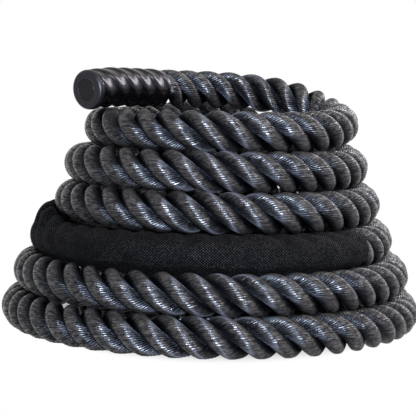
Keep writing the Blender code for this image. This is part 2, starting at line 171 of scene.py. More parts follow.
# The sleeve's cloth: how far round it goes, where it rises on to its own edge,
# and where it is loose. Marks say where a looseness starts, is full, fades and
# has gone, as shares of the sleeve's length or in degrees round it, with the
# coil's outward side at 0 and up at 90.
SLEEVE_SWEEP = 360 + LAP_HIGH_ANGLE - LAP_LOW_ANGLE
LAP_RISE_SWEEP = 46
UPPER_SIDE_MARKS = (8, 48, 130, 170)
END_SAG_START = 0.34
END_SAG_FULL = 0.44
PUFF_LENGTH_MARKS = (0.42, 0.52, 0.62, 0.78)
PUFF_SIDE_MARKS = (27, 93, 88, 120)
PRESS_LENGTH_MARKS = (0, 0.08, 0.92, 1)
PRESS_SIDE_MARKS = (-135, -109, -78, -52)
RIPPLE_LENGTH = 28 * MM

# Distance between rings of faces on a cover's hidden and flat sides, rings on a
# cap's rounding, the angle past which an edge stays sharp, and how near two
# points are welded
INNER_STEP = 3 * MM
CAP_ROUNDING_STEPS = 14
COVER_EDGE = math.radians(40)
CLOTH_EDGE = math.radians(60)
WELD_DISTANCE = FIT_GAP / 100

# Distance between points taken along the rope in each strand piece, where the strand piece on the
# free end meets the one on the stack, and two lengths on the free end at which the route is read
CORD_STEP = ROPE_RADIUS / 4
LEAD_END = 320 * MM
BEND_START = 215 * MM
BEND_END = 139 * MM


def smooth(share):
    """Ease from 0 to 1."""
    share = min(max(share, 0), 1)
    return share * share * (3 - 2 * share)


def mix(low, high, share):
    """Value between two others."""
    return low + (high - low) * share


def loose(place, marks):
    """Share of a looseness at a place, from where it starts to where it has gone."""
    start, full, fade, gone = marks
    return smooth((place - start) / (full - start)) * smooth((gone - place) / (gone - fade))


def hump(angle, start, end):
    """Rise from 0 to 1 and back between two angles."""
    return math.sin(math.pi * min(max((angle - start) / (end - start), 0), 1)) ** 2


def turn_heights():
    """Centre line height of each turn, floor first."""
    heights = [ROPE_RADIUS - FLOOR_CUT]
    for low in range(TURN_COUNT - 1):
        inset = TURN_RADII[low] - TURN_RADII[low + 1]
        inset -= abs(TURN_SHIFTS[low + 1] - TURN_SHIFTS[low])
        heights.append(heights[-1] + math.sqrt(TURN_SEPARATION ** 2 - inset ** 2))
    return heights


FRAME_HEIGHTS = turn_heights()
TOP_LEVEL = FRAME_HEIGHTS[-1] + TURN_SEPARATION
TURN_HEIGHTS = [height + FLOOR_LIFT * (1 - row / (TURN_COUNT - 1))
                for row, height in enumerate(FRAME_HEIGHTS)]
TAIL_RADIUS = TURN_RADII[0] - ROPE_DIAMETER - TURN_IN_GAP


def coil_point(turned):
    """Centre line point after a number of degrees down from the top turn."""
    turn = max(int(turned // 360), 0)
    angle = turned - 360 * turn
    row = TURN_COUNT - 1 - turn
    settling = angle < STEP_DOWN_END - 360
    if settling and row < TURN_COUNT - 1:
        row, angle = row + 1, angle + 360
    if row < 0 or (row == 0 and angle > TURN_IN_START):
        span = TURN_IN_END - TURN_IN_START
        since = angle - 360 * row - TURN_IN_START
        radius = mix(TURN_RADII[0], TAIL_RADIUS, smooth(since / span))
        radius -= TAIL_DRIFT * max(since - span, 0) / 360
        rise = (angle - 360 * row - TAIL_RISE_START) / (TAIL_RISE_END - TAIL_RISE_START)
        shift, height = TURN_SHIFTS[0], mix(TURN_HEIGHTS[0], GRIP_RADIUS, smooth(rise))
    else:
        start = TOP_ROW_STEP_DOWN_START if row == TURN_COUNT - 1 else STEP_DOWN_START
        share = smooth((angle - start) / (STEP_DOWN_END - start))
        below = max(row - 1, 0)
        radius = mix(TURN_RADII[row], TURN_RADII[below], share)
        shift = mix(TURN_SHIFTS[row], TURN_SHIFTS[below], share)
        height = mix(TURN_HEIGHTS[row], TURN_HEIGHTS[below], share)
        if row > 0:
            height += TURN_IN_LIFT * hump(
                angle, TURN_IN_START - TURN_IN_LIFT_MARGIN, TURN_IN_END + TURN_IN_LIFT_MARGIN)
        if row == TURN_COUNT - 1:
            height += BACK_LIFT * hump(angle, BACK_LIFT_START, BACK_LIFT_END)
    if turned < TOP_STEP_END:
        share = smooth((turned - TOP_STEP_START) / (TOP_STEP_END - TOP_STEP_START))
        radius, shift = TURN_RADII[-1], TURN_SHIFTS[-1]
        height = mix(TOP_LEVEL, TURN_HEIGHTS[-1], share)
    around = math.radians(90 - turned)
    place = Vector((shift + radius * math.sin(around), -radius * math.cos(around), height))
    return STACK_CENTRE + place


def top_run_point(reach, height):
    """Point on the run, a distance in from the rope's end, which bows a little."""
    turn = math.radians(TOP_RUN_TURN)
    along = Vector((math.cos(turn), math.sin(turn), 0))
    across = Vector((math.sin(turn), -math.cos(turn), 0))
    bow = TOP_RUN_BOW * max(1 - reach / TOP_RUN_BOW_REACH, 0) ** 2
    return TOP_RUN_END + along * reach + across * bow + Vector((0, 0, height))


def spline_point(before, start, end, after, share):
    """Point of the smooth curve through four route points."""
    square, cube = share * share, share * share * share
    return 0.5 * (2 * start + (end - before) * share
                  + (2 * before - 5 * start + 4 * end - after) * square
                  + (3 * start - before - 3 * end + after) * cube)


class Route:
    """The rope's centre line, measured from the free handle end."""

    def __init__(self):
        level = STACK_CENTRE + Vector((0, 0, TOP_LEVEL))
        knots = [top_run_point(*knot) for knot in TOP_RUN_KNOTS] + list(TOP_BEND)
        knots = [knot + level for knot in knots]
        self.turned = [None] * len(knots)
        length = sum((after - before).length for before, after in zip(knots, knots[1:]))
        angle = FIRST_TURN_ANGLE
        while length < ROPE_LENGTH - TAIL_STRAIGHT:
            knots.append(coil_point(angle))
            self.turned.append(angle)
            length += (knots[-1] - knots[-2]).length
            angle += STEP_ANGLE
        ahead, behind = angle - STEP_ANGLE / 2, angle - STEP_ANGLE * 3 / 2
        aim = (coil_point(ahead) - coil_point(behind)).normalized()
        for _ in range(TAIL_STRAIGHT_KNOTS):
            knots.append(knots[-1] + aim * ROPE_RADIUS)
            self.turned.append(None)
        self.points = []
        self.lengths = [0]
        self.knot_lengths = []
        last = len(knots) - 1
        for index in range(last):
            self.knot_lengths.append(self.lengths[-1])
            before, after = knots[max(index - 1, 0)], knots[min(index + 2, last)]
            for step in range(ROUTE_SAMPLES):
                share = step / ROUTE_SAMPLES
                point = spline_point(before, knots[index], knots[index + 1], after, share)
                if self.points:
                    self.lengths.append(self.lengths[-1] + (point - self.points[-1]).length)
                    if step == 0:
                        self.knot_lengths[-1] = self.lengths[-1]
                self.points.append(point)

    def at(self, length):
        """Point at a length from the free end, past either end in a line."""
        if length <= 0:
            return self.points[0] + (self.points[0] - self.points[1]).normalized() * -length
        low, high = 0, len(self.lengths) - 1
        while high - low > 1:
            middle = (low + high) // 2
            if self.lengths[middle] <= length:
                low = middle
            else:
                high = middle
        share = (length - self.lengths[low]) / (self.lengths[high] - self.lengths[low])
        return self.points[low].lerp(self.points[high], share)

    def direction(self, length):
        """Way the rope runs, away from the free end."""
        reach = ROPE_DIAMETER / 10
        return (self.at(length + reach) - self.at(length - reach)).normalized()

    def where_turned(self, angle):
        """Length at which the coil has turned by an angle."""
        for index, turned in enumerate(self.turned[:-1]):
            if turned is not None and turned <= angle < turned + STEP_ANGLE:
                share = (angle - turned) / STEP_ANGLE
                return mix(self.knot_lengths[index], self.knot_lengths[index + 1], share)
        raise ValueError("the coil does not turn that far")

    def section(self, length):
        """Centre, outward side and up direction of the rope's cross-section."""
        along = self.direction(length)
        side = along.cross(UP).normalized()
        return self.at(length), side, side.cross(along)


ROUTE = Route()
SLEEVE_START = ROUTE.where_turned(SLEEVE_START_TURNED)
SLEEVE_END = SLEEVE_START + SLEEVE_LENGTH


# Lay of the strands: a length along the rope for one turn of a strand, and
# how far the strands are slid along the rope at the front of each turn
LAY_LENGTH = 102 * MM
LAY_SLIDES = (10 * MM, 7.5 * MM, 1.5 * MM, -4.5 * MM, 12 * MM, 1 * MM)
FRONT_TURNED = 90
BACK_TURNED = 270
LAY_MARKS = [(ROUTE.where_turned(FRONT_TURNED + 360 * turn), LAY_SLIDES[TURN_COUNT - 1 - turn])
             for turn in range(TURN_COUNT)]


def lay_slide(length):
    """How far the strands are slid along the rope at a length."""
    if length <= LAY_MARKS[0][0]:
        return LAY_MARKS[0][1]
    for (start, low), (end, high) in zip(LAY_MARKS, LAY_MARKS[1:]):
        if length <= end:
            return mix(low, high, smooth((length - start) / (end - start)))
    return LAY_MARKS[-1][1]


def lay_angle(length):
    """Angle of the first strand's crest round the rope, from side to up."""
    return -TURN * (length + lay_slide(length)) / LAY_LENGTH


def rope_radius(length):
    """Rope radius, drawn in under the whippings, the grips and the sleeve."""
    from_end = min(length, ROPE_LENGTH - length)
    if from_end <= WHIPPING_END:
        return WHIPPED_RADIUS
    if from_end <= GRIP_REACH:
        return mix(WHIPPED_RADIUS, GRIPPED_RADIUS, min((from_end - WHIPPING_END) / DRAW_IN_RUN, 1))
    if from_end <= GRIP_REACH + DRAW_IN_RUN:
        return mix(GRIPPED_RADIUS, ROPE_RADIUS, (from_end - GRIP_REACH) / DRAW_IN_RUN)
    outside = max(SLEEVE_START - length, length - SLEEVE_END, 0)
    return mix(SLEEVED_RADIUS, ROPE_RADIUS, min(outside / DRAW_IN_RUN, 1))


# A stitch: its sides and steps, how high it arches, in thread radii, and how far
# out its shoulders are, to half its length
STITCH_SIDES = 6
STITCH_STEPS = 5
STITCH_ARCH = 1.6
STITCH_SHOULDER = 0.8

# Noise that makes each strand uneven in its own way: its seed, and how far apart
# it is read for two strands
STRAND_SEED = 3
STRAND_APART = 7.0

# Levels of a pattern between which one finish turns into another
STREAK_LEVELS = (0.34, 0.68)
LIT_STREAK_LEVELS = (0.1, 0.9)
BREAK_LEVELS = (0.38, 0.54)
THREAD_LEVELS = (0.64, 1.0)
WORN_LEVELS = (0.40, 0.6)
PATCH_LEVELS = (0.3, 0.7)

# Least share of the full finish that is left at a pattern's low level
DULL_STREAK = 0.15
WORN_THREAD = 0.15
DARK_PATCH = 0.35

# How far below the groove's level a strand's gloss has gone
GLOSS_FADE = 0.4

# Share of a bump's full depth that each fine pattern has
STREAK_RELIEF = 0.5
WORN_RELIEF = 0.4
GRAIN_STRENGTH = 0.06

# Size of the circle that the breaks in a strand's shine are read round
BREAK_CIRCLE = 3.5

# The sewing thread: plies in a metre of height, their streaks and their shine
PLIES_PER_METRE = 300.0
PLY_STREAKS = 4.0
PLY_STREAK_LENGTH = 1 * MM
PLY_BREAK_LENGTH = 3 * MM

# Roughness of each finish at its least and its most, and a moulded one's shine
CLOTH_ROUGHNESS = (0.62, 0.85)
THREAD_ROUGHNESS = (0.45, 0.7)
TAPE_ROUGHNESS = (0.55, 0.7)
RUBBER_FINISH = ((0.22, 0.30), 0.28)
CAP_FINISH = ((0.36, 0.46), 0.3)
DISC_FINISH = ((0.30, 0.40), 0.2)


# Nodes

class Field:
    """A node's output, to write sums and products of fields with."""

    def __init__(self, tree, socket):
        self.tree = tree
        self.socket = socket

    def math(self, operation, *others):
        """Field of a math node fed with this field and others."""
        node = add_node(self.tree, "ShaderNodeMath", operation=operation)
        for socket, value in zip(node.inputs, (self, *others)):
            feed(self.tree, socket, value)
        return Field(self.tree, node.outputs[0])

    def vector_math(self, operation, *others):
        """Field of a vector math node fed with this field and others."""
        node = add_node(self.tree, "ShaderNodeVectorMath", operation=operation)
        for socket, value in zip(node.inputs, (self, *others)):
            feed(self.tree, socket, value)
        return Field(self.tree, node.outputs[0])

    def times(self, length):
        """This vector, made longer."""
        node = add_node(self.tree, "ShaderNodeVectorMath", operation="SCALE")
        feed(self.tree, node.inputs[0], self)
        feed(self.tree, node.inputs["Scale"], length)
        return Field(self.tree, node.outputs[0])

    def __add__(self, other):
        return self.math("ADD", other)

    def __sub__(self, other):
        return self.math("SUBTRACT", other)

    def __mul__(self, other):
        return self.math("MULTIPLY", other)

    def __truediv__(self, other):
        return self.math("DIVIDE", other)

    def cos(self):
        """Cosine of this angle."""
        return self.math("COSINE")

    def sin(self):
        """Sine of this angle."""
        return self.math("SINE")


def feed(tree, socket, value):
    """Link a field or an output into a socket, or set the socket's value."""
    if isinstance(value, Field):
        tree.links.new(value.socket, socket)
    elif isinstance(value, bpy.types.NodeSocket):
        tree.links.new(value, socket)
    else:
        socket.default_value = value


def add_node(tree, kind, inputs=None, **settings):
    """A new node with its settings, and its sockets linked or set."""
    node = tree.nodes.new(kind)
    for name, value in settings.items():
        setattr(node, name, value)
    for key, value in (inputs or {}).items():
        feed(tree, node.inputs[key], value)
    return node


def field(tree, kind, output=0, inputs=None, **settings):
    """A new node's output as a field."""
    return Field(tree, add_node(tree, kind, inputs, **settings).outputs[output])


def node_group(name, kind, inputs, outputs):
    """Empty group with named sockets of each kind: itself, its inputs as fields, its output."""
    tree = bpy.data.node_groups.new(name, kind)
    for way, sockets in (("INPUT", inputs), ("OUTPUT", outputs)):
        for form, labels in sockets.items():
            for label in labels:
                tree.interface.new_socket(label, in_out=way, socket_type=f"NodeSocket{form}")
    given, result = tree.nodes.new("NodeGroupInput"), tree.nodes.new("NodeGroupOutput")
    return tree, {socket.name: Field(tree, socket) for socket in given.outputs[:-1]}, result


def path_tree(name, inputs):
    """Geometry tree for a path: itself, the path's curve, its inputs as fields, its output."""
    tree, value, result = node_group(
        name, "GeometryNodeTree", {"Geometry": ("Path",), **inputs, "Material": ("Material",)},
        {"Geometry": ("Piece",)})
    curve = add_node(tree, "GeometryNodeMeshToCurve", {"Mesh": value["Path"]}).outputs[0]
    return tree, curve, value, result


def capture(tree, geometry, values):
    """Geometry that carries fields, and the carried fields."""
    node = tree.nodes.new("GeometryNodeCaptureAttribute")
    node.domain = "POINT"
    feed(tree, node.inputs["Geometry"], geometry)
    carried = []
    for name, kind, value in values:
        node.capture_items.new(kind, name)
        feed(tree, node.inputs[name], value)
        carried.append(Field(tree, node.outputs[name]))
    return node.outputs["Geometry"], carried


def named(tree, name, kind="FLOAT"):
    """Field of a named value on the points."""
    return field(tree, "GeometryNodeInputNamedAttribute", inputs={"Name": name}, data_type=kind)


def section_fields(tree):
    """Position, outward side and up direction of a path's cross-section."""
    tangent = field(tree, "GeometryNodeInputTangent")
    side = tangent.vector_math("CROSS_PRODUCT", UP).vector_math("NORMALIZE")
    up = side.vector_math("CROSS_PRODUCT", tangent)
    return field(tree, "GeometryNodeInputPosition"), side, up


def ring_profile(tree, sides):
    """Circle whose ends meet, and the share of a turn at each of its points."""
    ring = add_node(tree, "GeometryNodeCurveArc",
                    {"Resolution": sides + 1, "Sweep Angle": TURN}, mode="RADIUS")
    factor = field(tree, "GeometryNodeSplineParameter", "Factor")
    ring, (around,) = capture(tree, ring.outputs[0], (("Around", "FLOAT", factor),))
    return ring, around


def placed_tube(tree, curve, ring, position, around, along):
    """Tube along a curve, with its points moved and its surface coordinates."""
    tube = add_node(tree, "GeometryNodeCurveToMesh", {"Curve": curve, "Profile Curve": ring})
    tube = add_node(tree, "GeometryNodeSetPosition",
                    {"Geometry": tube.outputs[0], "Position": position})
    return add_node(tree, "GeometryNodeStoreNamedAttribute", {
        "Geometry": tube.outputs[0], "Name": "UVMap", "Value": combine(tree, around, along, 0.0)},
        data_type="FLOAT2", domain="CORNER").outputs[0]


def welded(tree, geometry):
    """Geometry with its seam closed."""
    return add_node(tree, "GeometryNodeMergeByDistance",
                    {"Geometry": geometry, "Distance": WELD_DISTANCE}).outputs[0]


def strand_tree():
    """Strands laid round a path, with a column of faces along each yarn."""
    tree, curve, value, result = path_tree("Laid strands", {
        "Int": ("Strands", "Sides", "Seed"),
        "Float": ("Helix Radius", "Strand Radius", "Strand Breadth", "Groove Gap",
                  "Corner Softness", "Yarn Turns", "Yarn Height", "Unevenness", "Uneven Length")})
    centre, side, up = section_fields(tree)
    curve, (centre, side, up, lay, along, size) = capture(tree, curve, (
        ("Centre", "VECTOR", centre), ("Side", "VECTOR", side), ("Up", "VECTOR", up),
        ("Lay", "FLOAT", named(tree, "lay_angle")), ("Along", "FLOAT", named(tree, "along")),
        ("Size", "FLOAT", named(tree, "size"))))
    copies = add_node(tree, "GeometryNodeDuplicateElements",
                      {"Geometry": curve, "Amount": value["Strands"]}, domain="SPLINE")
    curve, (strand,) = capture(tree, copies.outputs[0], (("Strand", "FLOAT", copies.outputs[1]),))
    ring, around = ring_profile(tree, value["Sides"])
    crest = lay + strand * TURN / value["Strands"]
    turn = around * TURN - lay * value["Yarn Turns"]
    place = combine(tree, along / value["Uneven Length"], strand * STRAND_APART, value["Seed"])
    plump = (noise(tree, place, 1.0, 1.0) - 0.5) * value["Unevenness"] + 1
    yarn = (around * value["Sides"] * (math.pi / 2)).sin().math("ABSOLUTE")
    yarn = (yarn - 0.5) * value["Yarn Height"]
    reach = value["Helix Radius"] + turn.cos() * (value["Strand Radius"] * plump + yarn)
    across = turn.sin() * (value["Strand Breadth"] * plump + yarn)
    wall = reach * math.tan(math.pi / STRANDS) - value["Groove Gap"]
    within = across.math("ABSOLUTE").math("SMOOTH_MIN", wall, value["Corner Softness"])
    across = within * across.math("SIGN")
    inward = side.times(crest.cos()).vector_math("ADD", up.times(crest.sin()))
    sideways = up.times(crest.cos()).vector_math("SUBTRACT", side.times(crest.sin()))
    arm = inward.times(reach).vector_math("ADD", sideways.times(across)).times(size)
    placed = placed_tube(tree, curve, ring, centre.vector_math("ADD", arm), around, along)
    # The crest level, which the rope material reads for its painted groove shade and its gloss
    # fade
    placed = add_node(tree, "GeometryNodeStoreNamedAttribute", {
        "Geometry": placed, "Name": "crest", "Value": turn.cos()},
        data_type="FLOAT", domain="POINT").outputs[0]
    finish_tree(tree, welded(tree, placed), value["Material"], result)
    return tree


def turned_tree():
    """Outline turned round a path, with soft ridges that wind round it."""
    tree, curve, value, result = path_tree("Turned cover", {
        "Int": ("Sides", "Ridges"), "Float": ("Lead", "Ridge Height", "Skew", "Phase")})
    curve, (centre, side, up, along, radius, ridged) = capture(tree, curve, (
        ("Centre", "VECTOR", named(tree, "centre", "FLOAT_VECTOR")),
        ("Side", "VECTOR", named(tree, "side", "FLOAT_VECTOR")),
        ("Up", "VECTOR", named(tree, "up", "FLOAT_VECTOR")),
        ("Along", "FLOAT", named(tree, "along")), ("Radius", "FLOAT", named(tree, "radius")),
        ("Ridged", "FLOAT", named(tree, "ridged"))))
    ring, around = ring_profile(tree, value["Sides"])
    share = (around * value["Ridges"]).math("FRACT")
    ridge = (share.math("POWER", value["Skew"]) * math.pi).sin().math("POWER", 2.0)
    reach = radius + (ridge - 1) * value["Ridge Height"] * ridged
    angle = (around - along / value["Lead"] + value["Phase"]) * TURN
    arm = side.times(angle.cos()).vector_math("ADD", up.times(angle.sin())).times(reach)
    placed = placed_tube(tree, curve, ring, centre.vector_math("ADD", arm), around, along)
    finish_tree(tree, welded(tree, placed), value["Material"], result)
    return tree


def stitch_tree():
    """Short threads laid end to end along a path."""
    tree, curve, value, result = path_tree("Row of stitches", {
        "Int": ("Sides",), "Float": ("Spacing", "Stitch Length", "Thread Radius")})
    spots = add_node(tree, "GeometryNodeResampleCurve",
                     {"Curve": curve, "Length": value["Spacing"]}, mode="LENGTH").outputs[0]
    spots, (tangent, outward) = capture(tree, spots, (
        ("Tangent", "VECTOR", field(tree, "GeometryNodeInputTangent")),
        ("Outward", "VECTOR", named(tree, "outward", "FLOAT_VECTOR"))))
    half = value["Stitch Length"] * 0.5
    arch = value["Thread Radius"] * STITCH_ARCH
    bow = add_node(tree, "GeometryNodeCurvePrimitiveBezierSegment", {
        "Resolution": STITCH_STEPS, "Start": combine(tree, half * -1, 0.0, 0.0),
        "Start Handle": combine(tree, half * -STITCH_SHOULDER, 0.0, arch),
        "End Handle": combine(tree, half * STITCH_SHOULDER, 0.0, arch),
        "End": combine(tree, half, 0.0, 0.0)}, mode="POSITION").outputs[0]
    section = add_node(tree, "GeometryNodeCurvePrimitiveCircle", {
        "Resolution": value["Sides"], "Radius": value["Thread Radius"]}, mode="RADIUS").outputs[0]
    stitch = add_node(tree, "GeometryNodeCurveToMesh", {
        "Curve": bow, "Profile Curve": section, "Fill Caps": True}).outputs[0]
    turned = add_node(tree, "FunctionNodeAlignRotationToVector", {"Vector": tangent}, axis="X")
    turned = add_node(tree, "FunctionNodeAlignRotationToVector",
                      {"Rotation": turned.outputs[0], "Vector": outward}, axis="Z", pivot_axis="X")
    row = add_node(tree, "GeometryNodeInstanceOnPoints", {
        "Points": spots, "Instance": stitch, "Rotation": turned.outputs[0]}).outputs[0]
    finish_tree(tree, row, value["Material"], result)
    return tree


def finish_tree(tree, geometry, material, result):
    """End a tree with real, smooth geometry that has its material."""
    shaded = add_node(tree, "GeometryNodeSetShadeSmooth", {"Geometry": geometry}).outputs[0]
    real = add_node(tree, "GeometryNodeRealizeInstances", {"Geometry": shaded}).outputs[0]
    finished = add_node(tree, "GeometryNodeSetMaterial", {"Geometry": real, "Material": material})
    feed(tree, result.inputs[0], finished.outputs[0])


def combine(tree, x, y, z):
    """Vector field of three values."""
    return field(tree, "ShaderNodeCombineXYZ", inputs={"X": x, "Y": y, "Z": z})


def link_piece(name, mesh):
    """Object for a mesh, at the origin."""
    piece = bpy.data.objects.new(name, mesh)
    bpy.context.scene.collection.objects.link(piece)
    return piece


def plain_mesh(piece):
    """Turn an object's modifiers into a plain mesh with closed ends."""
    bpy.context.view_layer.update()
    evaluated = piece.evaluated_get(bpy.context.evaluated_depsgraph_get())
    mesh = bpy.data.meshes.new_from_object(evaluated)
    mesh.name = piece.name
    piece.modifiers.clear()
    old = piece.data
    piece.data = mesh
    bpy.data.meshes.remove(old)
    close_ends(mesh)
    return piece


def rest_on_floor(mesh):
    """Flatten what would reach below the floor."""
    for vertex in mesh.vertices:
        vertex.co.z = max(vertex.co.z, 0)


def close_ends(mesh):
    """Fill a mesh's open rings with flat faces, and turn its faces outwards."""
    work = bmesh.new()
    work.from_mesh(mesh)
    rims = [edge for edge in work.edges if edge.is_boundary]
    if rims:
        lids = bmesh.ops.holes_fill(work, edges=rims, sides=0)["faces"]
        for edge in rims:
            edge.smooth = False
        for lid in lids:
            lid.smooth = False
    bmesh.ops.recalc_face_normals(work, faces=work.faces)
    work.to_mesh(mesh)
    work.free()


def steps(start, end, step):
    """Lengths from a start to an end, about a step apart."""
    count = max(round(abs(end - start) / step), 1)
    return [mix(start, end, index / count) for index in range(count + 1)]


def path_mesh(name, points, values, closed=False):
    """Line of vertices with named numbers and vectors at each."""
    mesh = bpy.data.meshes.new(name)
    edges = [(index, index + 1) for index in range(len(points) - 1)]
    if closed:
        edges.append((len(points) - 1, 0))
    mesh.from_pydata(points, edges, [])
    for key, entries in values.items():
        if isinstance(entries[0], Vector):
            layer = mesh.attributes.new(key, "FLOAT_VECTOR", "POINT")
            layer.data.foreach_set("vector", [part for entry in entries for part in entry])
        else:
            mesh.attributes.new(key, "FLOAT", "POINT").data.foreach_set("value", entries)
    return mesh


def strand_path(name, start, end, step):
    """Line along the rope, with the strands' lay, place and size."""
    lengths = steps(start, end, step)
    return path_mesh(name, [ROUTE.at(length) for length in lengths], {
        "lay_angle": [lay_angle(length) for length in lengths], "along": lengths,
        "size": [rope_radius(length) / ROPE_RADIUS for length in lengths]})


def turned_path(name, outline, mouth, inward, closed):
    """Line through a turned piece's half outline, at one end of the rope.

    An outline entry is a distance from the mouth, a radius and a share of ridge.
    """
    frames = [ROUTE.section(mouth + inward * reach) for reach, _, _ in outline]
    centres = [centre for centre, _, _ in frames]
    sides = [side * inward for _, side, _ in frames]
    ups = [up for _, _, up in frames]
    radii = [radius for _, radius, _ in outline]
    points = [centre + up * radius for centre, up, radius in zip(centres, ups, radii)]
    return path_mesh(name, points, {
        "centre": centres, "side": sides, "up": ups, "radius": radii,
        "along": [reach for reach, _, _ in outline],
        "ridged": [ridged for _, _, ridged in outline]}, closed)


def rounded(corner, size, start, end, count=6):
    """Quarter round: its middle, its size and two angles, as outline entries."""
    reach, radius = corner
    angles = [math.radians(mix(start, end, index / count)) for index in range(count + 1)]
    return [(reach + size * math.sin(angle), radius + size * math.cos(angle), 0.0)
            for angle in angles]


def grow(piece, tree, values):
    """Run a geometry tree on an object and keep its result as a mesh."""
    modifier = piece.modifiers.new(tree.name, "NODES")
    modifier.node_group = tree
    for socket in tree.interface.items_tree:
        if socket.in_out == "INPUT" and socket.name in values:
            modifier[socket.identifier] = values[socket.name]
    return plain_mesh(piece)


def add_wall(piece, thickness):
    """Give an open surface its thickness, half to each side."""
    solid = piece.modifiers.new("wall", "SOLIDIFY")
    solid.thickness = thickness
    solid.offset = 0
    solid.use_even_offset = True


# Settings

def length_setting(name, description, default):
    """A length that a user may change."""
    return bpy.props.FloatProperty(
        name=name, description=description, default=default, unit="LENGTH")


def number_setting(name, description, default, subtype="NONE"):
    """A number that a user may change."""
    return bpy.props.FloatProperty(
        name=name, description=description, default=default, subtype=subtype)


def count_setting(name, description, default):
    """A whole number that a user may change."""
    return bpy.props.IntProperty(name=name, description=description, default=default)


def colour_setting(name, description, default):
    """A colour that a user may change."""
    return bpy.props.FloatVectorProperty(
        name=name, description=description, default=default, subtype="COLOR")


# Materials

def new_material(name):
    """Material with its tree and its Principled BSDF."""
    surface = bpy.data.materials.new(name)
    surface.use_nodes = True
    return surface, surface.node_tree, surface.node_tree.nodes["Principled BSDF"]


def paint(socket, colour):
    """Set a colour socket."""
    socket.default_value = (*colour, 1)


def mixed(tree, share, low, high):
    """Colour between two colours or outputs."""
    node = add_node(tree, "ShaderNodeMix", {"Factor": share}, data_type="RGBA")
    for socket, colour in ((node.inputs[6], low), (node.inputs[7], high)):
        if isinstance(colour, tuple):
            paint(socket, colour)
        else:
            feed(tree, socket, colour)
    return Field(tree, node.outputs[2])


def ranged(tree, value, low, high, to_low=0.0, to_high=1.0):
    """Value moved from one range to another, kept within it."""
    return field(tree, "ShaderNodeMapRange", inputs={
        "Value": value, "From Min": low, "From Max": high, "To Min": to_low, "To Max": to_high})


def raised(tree, height, distance, strength=1.0):
    """Normal of a surface with a bump."""
    return add_node(tree, "ShaderNodeBump", {
        "Height": height, "Distance": distance, "Strength": strength}).outputs[0]


def dress(tree, shader, values):
    """Link or set a shader's sockets."""
    for name, value in values.items():
        feed(tree, shader.inputs[name], value)


def object_place(tree):
    """Object coordinates as a field."""
    return Field(tree, add_node(tree, "ShaderNodeTexCoord").outputs["Object"])


def noise(tree, place, scale, detail=2.0):
    """Smooth noise from 0 to 1 at a place."""
    return field(tree, "ShaderNodeTexNoise", "Fac",
                 {"Vector": place, "Scale": scale, "Detail": detail}, noise_dimensions="3D")


def coordinates(tree, place):
    """The three numbers of a place, as fields."""
    split = add_node(tree, "ShaderNodeSeparateXYZ", {0: place})
    return [Field(tree, output) for output in split.outputs]


def surface_place(tree):
    """The two surface coordinates of a piece, as fields."""
    return coordinates(tree, add_node(tree, "ShaderNodeUVMap", uv_map="UVMap").outputs[0])[:2]


def placed_group(tree, build, values):
    """Outputs of a shared group, which is built the first time it is placed."""
    group = bpy.data.node_groups.get(build.__doc__) or build()
    node = tree.nodes.new("ShaderNodeGroup")
    node.node_tree = group
    for key, value in values.items():
        feed(tree, node.inputs[key], value)
    return {socket.name: Field(tree, socket) for socket in node.outputs}


def filament_group():
    """Twisted filament"""
    tree, value, result = node_group(filament_group.__doc__, "ShaderNodeTree", {
        "Float": ("Around", "Along", "Streaks", "Streak Length", "Break Length")},
        {"Float": ("Streak", "Break")})
    angle = value["Around"] * TURN
    along = value["Along"]
    streaks = value["Streaks"] / TURN
    fine = combine(tree, angle.cos() * streaks, angle.sin() * streaks,
                   along / value["Streak Length"])
    feed(tree, result.inputs["Streak"], noise(tree, fine, 1.0, 3.0))
    coarse = combine(tree, angle.cos() * BREAK_CIRCLE, angle.sin() * BREAK_CIRCLE,
                     along / value["Break Length"])
    feed(tree, result.inputs["Break"], noise(tree, coarse, 1.0, 1.0))
    return tree


def weave_group():
    """Plain weave on the slant"""
    tree, value, result = node_group(weave_group.__doc__, "ShaderNodeTree", {
        "Float": ("Across", "Along", "Pitch", "Slant")}, {"Float": ("Height", "Over")})
    across, along = value["Across"] / value["Pitch"], value["Along"] / value["Pitch"]
    first, second = along + across * value["Slant"], along - across * value["Slant"]
    ridge, other = ((way * math.pi).sin().math("ABSOLUTE") for way in (first, second))
    parity = first.math("FLOOR") + second.math("FLOOR")
    over = parity.math("MODULO", 2.0).math("ABSOLUTE").math("GREATER_THAN", 0.5)
    upper = ridge * (other * 0.5 + 0.5)
    lower = other * (ridge * 0.5 + 0.5)
    feed(tree, result.inputs["Height"], upper * over + lower * (over * -1 + 1))
    feed(tree, result.inputs["Over"], over)
    return tree


def grain_group():
    """Fine moulded grain"""
    tree, value, result = node_group(grain_group.__doc__, "ShaderNodeTree", {
        "Vector": ("Vector",), "Float": ("Grain Size", "Patch Size")},
        {"Float": ("Grain", "Patch")})
    for name, size, detail in (("Grain", "Grain Size", 3.0), ("Patch", "Patch Size", 2.0)):
        place = value["Vector"].times(value[size].math("POWER", -1.0))
        feed(tree, result.inputs[name], noise(tree, place, 1.0, detail))
    return tree


